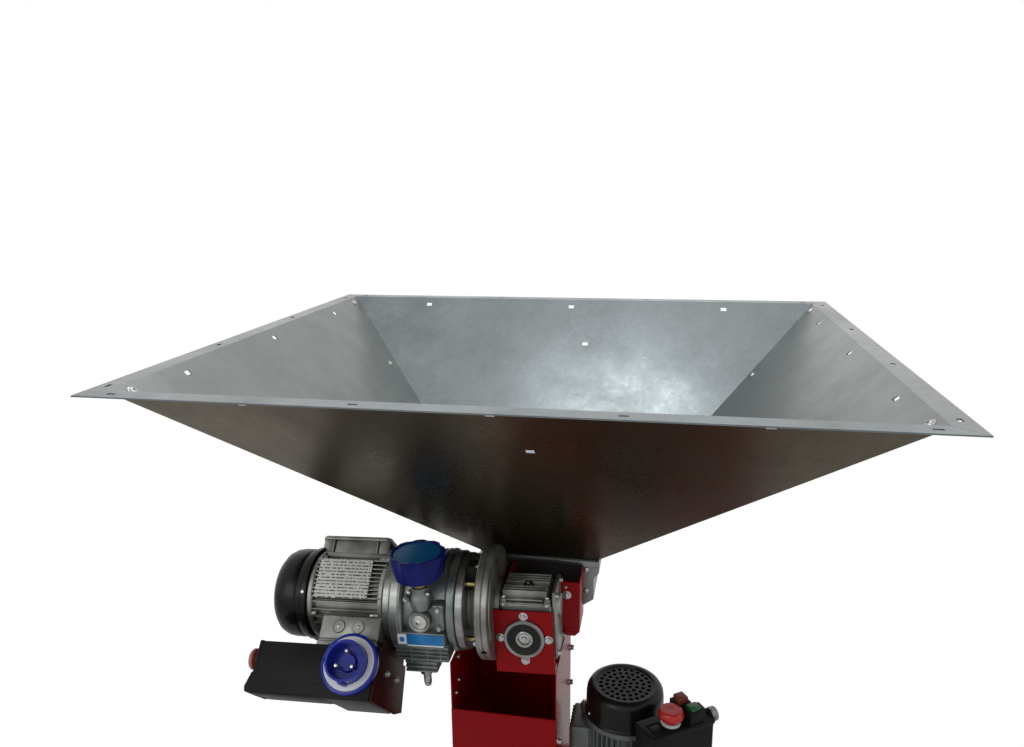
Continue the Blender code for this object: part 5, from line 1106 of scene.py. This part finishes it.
def control_box():
    """Switch box with a raised lid, a blank recess, an emergency stop and a pair of square buttons."""
    low, high = reach("control_box", CONTROL)
    x, y = (-0.042, 0.088), (low.y, -0.096)
    top = high.z
    lid = top - 0.0085
    shell = outline("Z", [(x[0] + 0.002, y[1]), (x[0] + 0.002, y[0] + 0.008), (x[0] + 0.008, y[0] + 0.002),
                          (x[1] - 0.008, y[0] + 0.002), (x[1] - 0.002, y[0] + 0.008), (x[1] - 0.002, y[1])],
                    (low.z, lid + 0.001), 0.002)
    cover = outline("Z", [(x[0], y[1]), (x[0], y[0] + 0.006), (x[0] + 0.006, y[0]), (x[1] - 0.006, y[0]),
                          (x[1], y[0] + 0.006), (x[1], y[1])], (lid, top), 0.0026, 3)
    recess = (-0.0185, -0.124)
    half = 0.012
    cover = carved(cover, block((recess[0] - half, recess[0] + half), (recess[1] - half, recess[1] + half),
                                (top - 0.0022, top + 0.004), 0.0))
    arm = block((-0.03, 0.03), (y[1] - 0.004, -0.064), (low.z + 0.005, low.z + 0.032), 0.002)
    plate = block((recess[0] - half + 0.0022, recess[0] + half - 0.0022),
                  (recess[1] - half + 0.0022, recess[1] + half - 0.0022), (top - 0.0026, top - 0.001), 0.0006)
    made("control_box_body", BLACK, shell, cover, arm, plate, place=CONTROL, stands_for=("control_box",))
    stop_low, stop_high = reach("emergency_stop", CONTROL)
    spot = ((stop_low.x + stop_high.x) / 2, (stop_low.y + stop_high.y) / 2)
    head_low = top + 0.0094
    head_top = stop_high.z + 0.005
    mushroom = turned("Z", spot, [(0.0, stop_low.z), (0.008, stop_low.z), (0.008, head_low),
                                  (0.0165, head_low + 0.0004), (0.0203, head_low + 0.0022),
                                  (0.0214, head_low + 0.0055), (0.0208, head_low + 0.0105),
                                  (0.018, head_top - 0.0008), (0.012, head_top), (0.0065, head_top - 0.0006),
                                  (0.0, head_top - 0.0008)], 72, False)
    made("emergency_stop_head", BUTTON_RED, mushroom, body="emergency_stop_button", place=CONTROL,
         stands_for=("emergency_stop",))
    collar = turned("Z", spot, [(0.0165, top - 0.0004), (0.0165, top + 0.0016), (0.015, top + 0.0026),
                                (0.011, top + 0.0028), (0.0096, top + 0.002), (0.0096, top - 0.0004)], 64)
    made("emergency_stop_collar", WHITE_RING, collar, place=CONTROL)
    push_buttons(top)
    knob = (-0.129, top - 0.004)
    made("control_box_knob", CAST, turned("X", knob, [(0.0, x[1] - 0.003), (0.0116, x[1] - 0.003),
                                                      (0.0122, x[1] + 0.0016), (0.0118, x[1] + 0.008),
                                                      (0.0104, x[1] + 0.0092), (0.0, x[1] + 0.0092)], 40,
                                          False), place=CONTROL)
    made("control_box_screws", ZINC_BOLT, dome_head("X", knob, x[1] + 0.0091, 1, 0.0042, 0.0026),
         place=CONTROL)


def push_buttons(top):
    """Square green start button and the taller red-brown off button, in one raised black housing."""
    rows = (("start_button", BUTTON_GREEN, -0.0105, 0.0, 0.0095, 0.0),
            ("off_button", BROWN_RED, -0.018, 0.002, 0.008, 0.005))
    half, room = 0.0092, 0.0118       # of a cap, and of the well round it
    housing = []
    for name, skin, aside, behind, lift, stand in rows:
        low, high = reach(name, CONTROL)
        spot = ((low.x + high.x) / 2 + aside, (low.y + high.y) / 2 + behind)
        tip = high.z + lift
        cap = block((spot[0] - half, spot[0] + half), (spot[1] - half, spot[1] + half), (tip - 0.0115, tip),
                    0.0016, 3)
        stem = pillar("Z", spot, (low.z, tip - 0.01), 0.0066, sides=32)
        made(name + "_cap", skin, cap, stem, body=name, place=CONTROL, stands_for=(name,))
        wall = (top - 0.0006, tip - 0.004 - stand)
        for side in (-1, 1):
            x, y = spot[0] + side * room, spot[1] + side * 0.0112
            housing.append(block((x - 0.0016, x + 0.0016), (spot[1] - 0.0124, spot[1] + 0.0124), wall,
                                 0.0007))
            housing.append(block((spot[0] - 0.012, spot[0] + 0.012), (y - 0.001, y + 0.001), wall, 0.0005))
    made("push_button_housing", BLACK, *housing, place=CONTROL)


# ---------------------------------------------------------------- stand and drum

def stand():
    """Square tubes with round corners, capped ends, foot plates, bolts and weld beads."""
    low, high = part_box("deck_frame")
    tube, anchor = 0.04, 0.03
    rails = [block((low.x, high.x), (y, y + tube), (low.z, high.z), 0.0032, 3)
             for y in (low.y, high.y - tube)]
    rails += [block((x, x + tube), (low.y + tube - 0.001, high.y - tube + 0.001), (low.z, high.z), 0.0032, 3)
              for x in (low.x, high.x - tube)]
    made("deck_frame_tubes", RED, *rails, stands_for=("deck_frame",))
    beads, bolts = [], []
    for side_y in ("front", "back"):
        for side_x in ("left", "right"):
            name = "leg_%s_%s" % (side_y, side_x)
            foot_low, foot_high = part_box(name)
            x = ((foot_low.x + foot_high.x) / 2 - tube / 2, (foot_low.x + foot_high.x) / 2 + tube / 2)
            y = ((foot_low.y + foot_high.y) / 2 - tube / 2, (foot_low.y + foot_high.y) / 2 + tube / 2)
            leg = block(x, y, (0.005, foot_high.z), 0.0032, 3)
            foot = block((foot_low.x, foot_high.x), (foot_low.y, foot_high.y), (0.0, 0.006), 0.0012)
            made(name + "_tube", RED, leg, foot, stands_for=(name,))
            for place in (x[0] - 0.0004, x[1] + 0.0004):
                beads.append(pillar("Y", (place, 0.0068), (y[0], y[1]), 0.0026, sides=12, rounded=0.0008))
            for place in (y[0] - 0.0004, y[1] + 0.0004):
                beads.append(pillar("X", (place, 0.0068), (x[0], x[1]), 0.0026, sides=12, rounded=0.0008))
                beads.append(pillar("X", (place, foot_high.z), (x[0], x[1]), 0.0022, sides=12,
                                    rounded=0.0006))
            for side_a in (-1, 1):
                spot = ((x[0] + x[1]) / 2 + side_a * anchor, (y[0] + y[1]) / 2 + side_a * anchor)
                bolts.append(hex_head("Z", spot, 0.006, 1, 0.005, 0.0042))
    made("stand_welds", RED, *beads)
    deck_low, deck_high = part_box("deck_plate")
    for x in (deck_low.x + 0.02, deck_high.x - 0.02):
        for y in (deck_low.y + 0.02, -0.06, deck_high.y - 0.02):
            bolts.append(hex_head("Z", (x, y), deck_high.z, 1, 0.0065, 0.005))
    made("stand_bolts", ZINC_BOLT, *bolts)


def drum():
    """Rolled stainless jacket with a band, a flanged must spout and toggle clips."""
    low, high = reach("drum_jacket", DRUM)
    radius, wall, hole = 0.24, 0.002, 0.19
    floor = low.z + 0.003
    jacket = turned("Z", MIDDLE, [(radius, high.z), (radius, low.z + 0.002), (radius - 0.002, low.z),
                                  (hole, low.z), (hole, floor), (radius - wall, floor),
                                  (radius - wall, high.z)], 144)
    way = block((-0.06, 0.06), (-radius - 0.04, -0.208), (floor, floor + 0.06))
    run, lip = (low.y, -radius + 0.012), (low.y, low.y + 0.003)
    spout = [block((x - 0.001, x + 0.001), run, (low.z, floor + 0.062), 0.0005) for x in (-0.061, 0.061)]
    spout += [block((-0.062, 0.062), run, z, 0.0005) for z in ((low.z, floor), (floor + 0.06, floor + 0.062))]
    spout += [block(x, lip, (bottom, floor + 0.065), 0.0006) for x,
              bottom in (((-0.066, -0.06), low.z), ((0.06, 0.066), low.z), ((-0.066, 0.066), floor + 0.06))]
    middle = high.z - 0.012
    band = [(radius + 0.002, middle - 0.009), (radius + 0.0026, middle - 0.008),
            (radius + 0.0026, middle + 0.008), (radius + 0.002, middle + 0.009),
            (radius - 0.0004, middle + 0.009), (radius - 0.0004, middle - 0.009)]
    made("drum_jacket_rolled", STAINLESS, carved(jacket, way), *spout, turned("Z", MIDDLE, band, 144),
         place=DRUM, stands_for=("drum_jacket",))
    clips = []
    for angle in (20, 160, 200, 340):
        clips.append(spun(block((radius - 0.001, radius + 0.008), (-0.009, 0.009),
                                (high.z - 0.06, high.z - 0.026), 0.002), angle))
        clips.append(spun(pillar("Y", (radius + 0.006, high.z - 0.02), (-0.011, 0.011), 0.0028, sides=20,
                                 rounded=0.0006), angle))
    made("drum_clips", ZINC_BOLT, *clips, place=DRUM)


# ---------------------------------------------------------------- floor, light and camera

CAMERA_PLACE = (0.20509, -1.31876, 1.612)
CAMERA_TURN = (76.2603, 0.7134, 10.9334)
CAMERA_LENS = 27.8544


def pale_floor():
    """Floor that shows white to the camera and in reflections, and keeps the object's shadow."""
    made_of = bpy.data.materials.new("pale_floor")
    made_of.use_nodes = True
    tree = made_of.node_tree
    tree.nodes.clear()
    matt = wired(tree, "BsdfDiffuse", {"Color": (0.86, 0.86, 0.86, 1.0)}).outputs["BSDF"]
    glow = wired(tree, "Emission", {"Strength": 1.12}).outputs["Emission"]
    path = wired(tree, "LightPath", {}).outputs
    seen = counted(tree, "MAXIMUM", path["Is Camera Ray"], path["Is Transmission Ray"])
    both = wired(tree, "MixShader", {"Fac": counted(tree, "MULTIPLY", seen, 0.8), 1: matt, 2: glow})
    wired(tree, "OutputMaterial", {"Surface": both.outputs["Shader"]})
    shape = bmesh.new()
    bmesh.ops.create_grid(shape, x_segments=1, y_segments=1, size=30.0)
    sheet = bpy.data.meshes.new("floor")
    shape.to_mesh(sheet)
    sheet.materials.append(made_of)
    floor = bpy.data.objects.new("floor", sheet)
    bpy.context.scene.collection.objects.link(floor)


def sky():
    """Soft light from all round, white to the camera and in reflections."""
    world = bpy.data.worlds.new("studio")
    bpy.context.scene.world = world
    world.use_nodes = True
    tree = world.node_tree
    tree.nodes.clear()
    white = (1.0, 1.0, 1.0, 1.0)
    lit = wired(tree, "Background", {"Color": white, "Strength": 0.62}).outputs["Background"]
    seen = wired(tree, "Background", {"Color": white}).outputs["Background"]
    path = wired(tree, "LightPath", {}).outputs
    clear = counted(tree, "MAXIMUM", path["Is Camera Ray"], path["Is Transmission Ray"])
    bright = counted(tree, "MAXIMUM", clear, path["Is Glossy Ray"])
    both = wired(tree, "MixShader", {"Fac": bright, 1: lit, 2: seen})
    wired(tree, "OutputWorld", {"Surface": both.outputs["Shader"]})


def lamp(name, place, aim, size, power):
    """A flat lamp that faces its aim."""
    light = bpy.data.lights.new(name, "AREA")
    light.shape = "RECTANGLE"
    light.size, light.size_y = size
    light.energy = power
    holder = bpy.data.objects.new(name, light)
    bpy.context.scene.collection.objects.link(holder)
    holder.location = place
    holder.rotation_euler = (Vector(aim) - Vector(place)).to_track_quat("-Z", "Y").to_euler()


def studio():
    """Floor, light and the camera."""
    pale_floor()
    sky()
    lamp("ceiling_lamp", (0.3, 1.2, 3.4), (0.0, 0.0, 1.0), (2.4, 1.2), 12.0)
    lamp("front_lamp", (-1.6, -2.6, 2.4), (0.0, 0.0, 0.9), (1.6, 1.6), 16.0)
    lamp("sheet_lamp", (0.02, -0.52, 3.2), (0.06, 0.2, 1.12), (0.6, 0.6), 7.0)
    view = bpy.data.cameras.new("view")
    view.lens = CAMERA_LENS
    view.sensor_width = 36.0
    camera = bpy.data.objects.new("view", view)
    bpy.context.scene.collection.objects.link(camera)
    camera.location = CAMERA_PLACE
    camera.rotation_euler = [math.radians(turn) for turn in CAMERA_TURN]
    bpy.context.scene.camera = camera
    bpy.context.scene.view_settings.view_transform = "Standard"


# ---------------------------------------------------------------- the whole machine

recoat()
hopper_fastenings()
crusher_box()
fluted_roller("roller_right", "driven_roller", ROLLER_X, 0.0438)
fluted_roller("roller_left", "idle_roller", IDLE_X, 0.0438)
column()
gearbox()
bracket()
flanges()
variator()
handwheel()
drive_motor()
plug_switch()
switch_bracket()
drum_motor()
control_box()
stand()
drum()
studio()
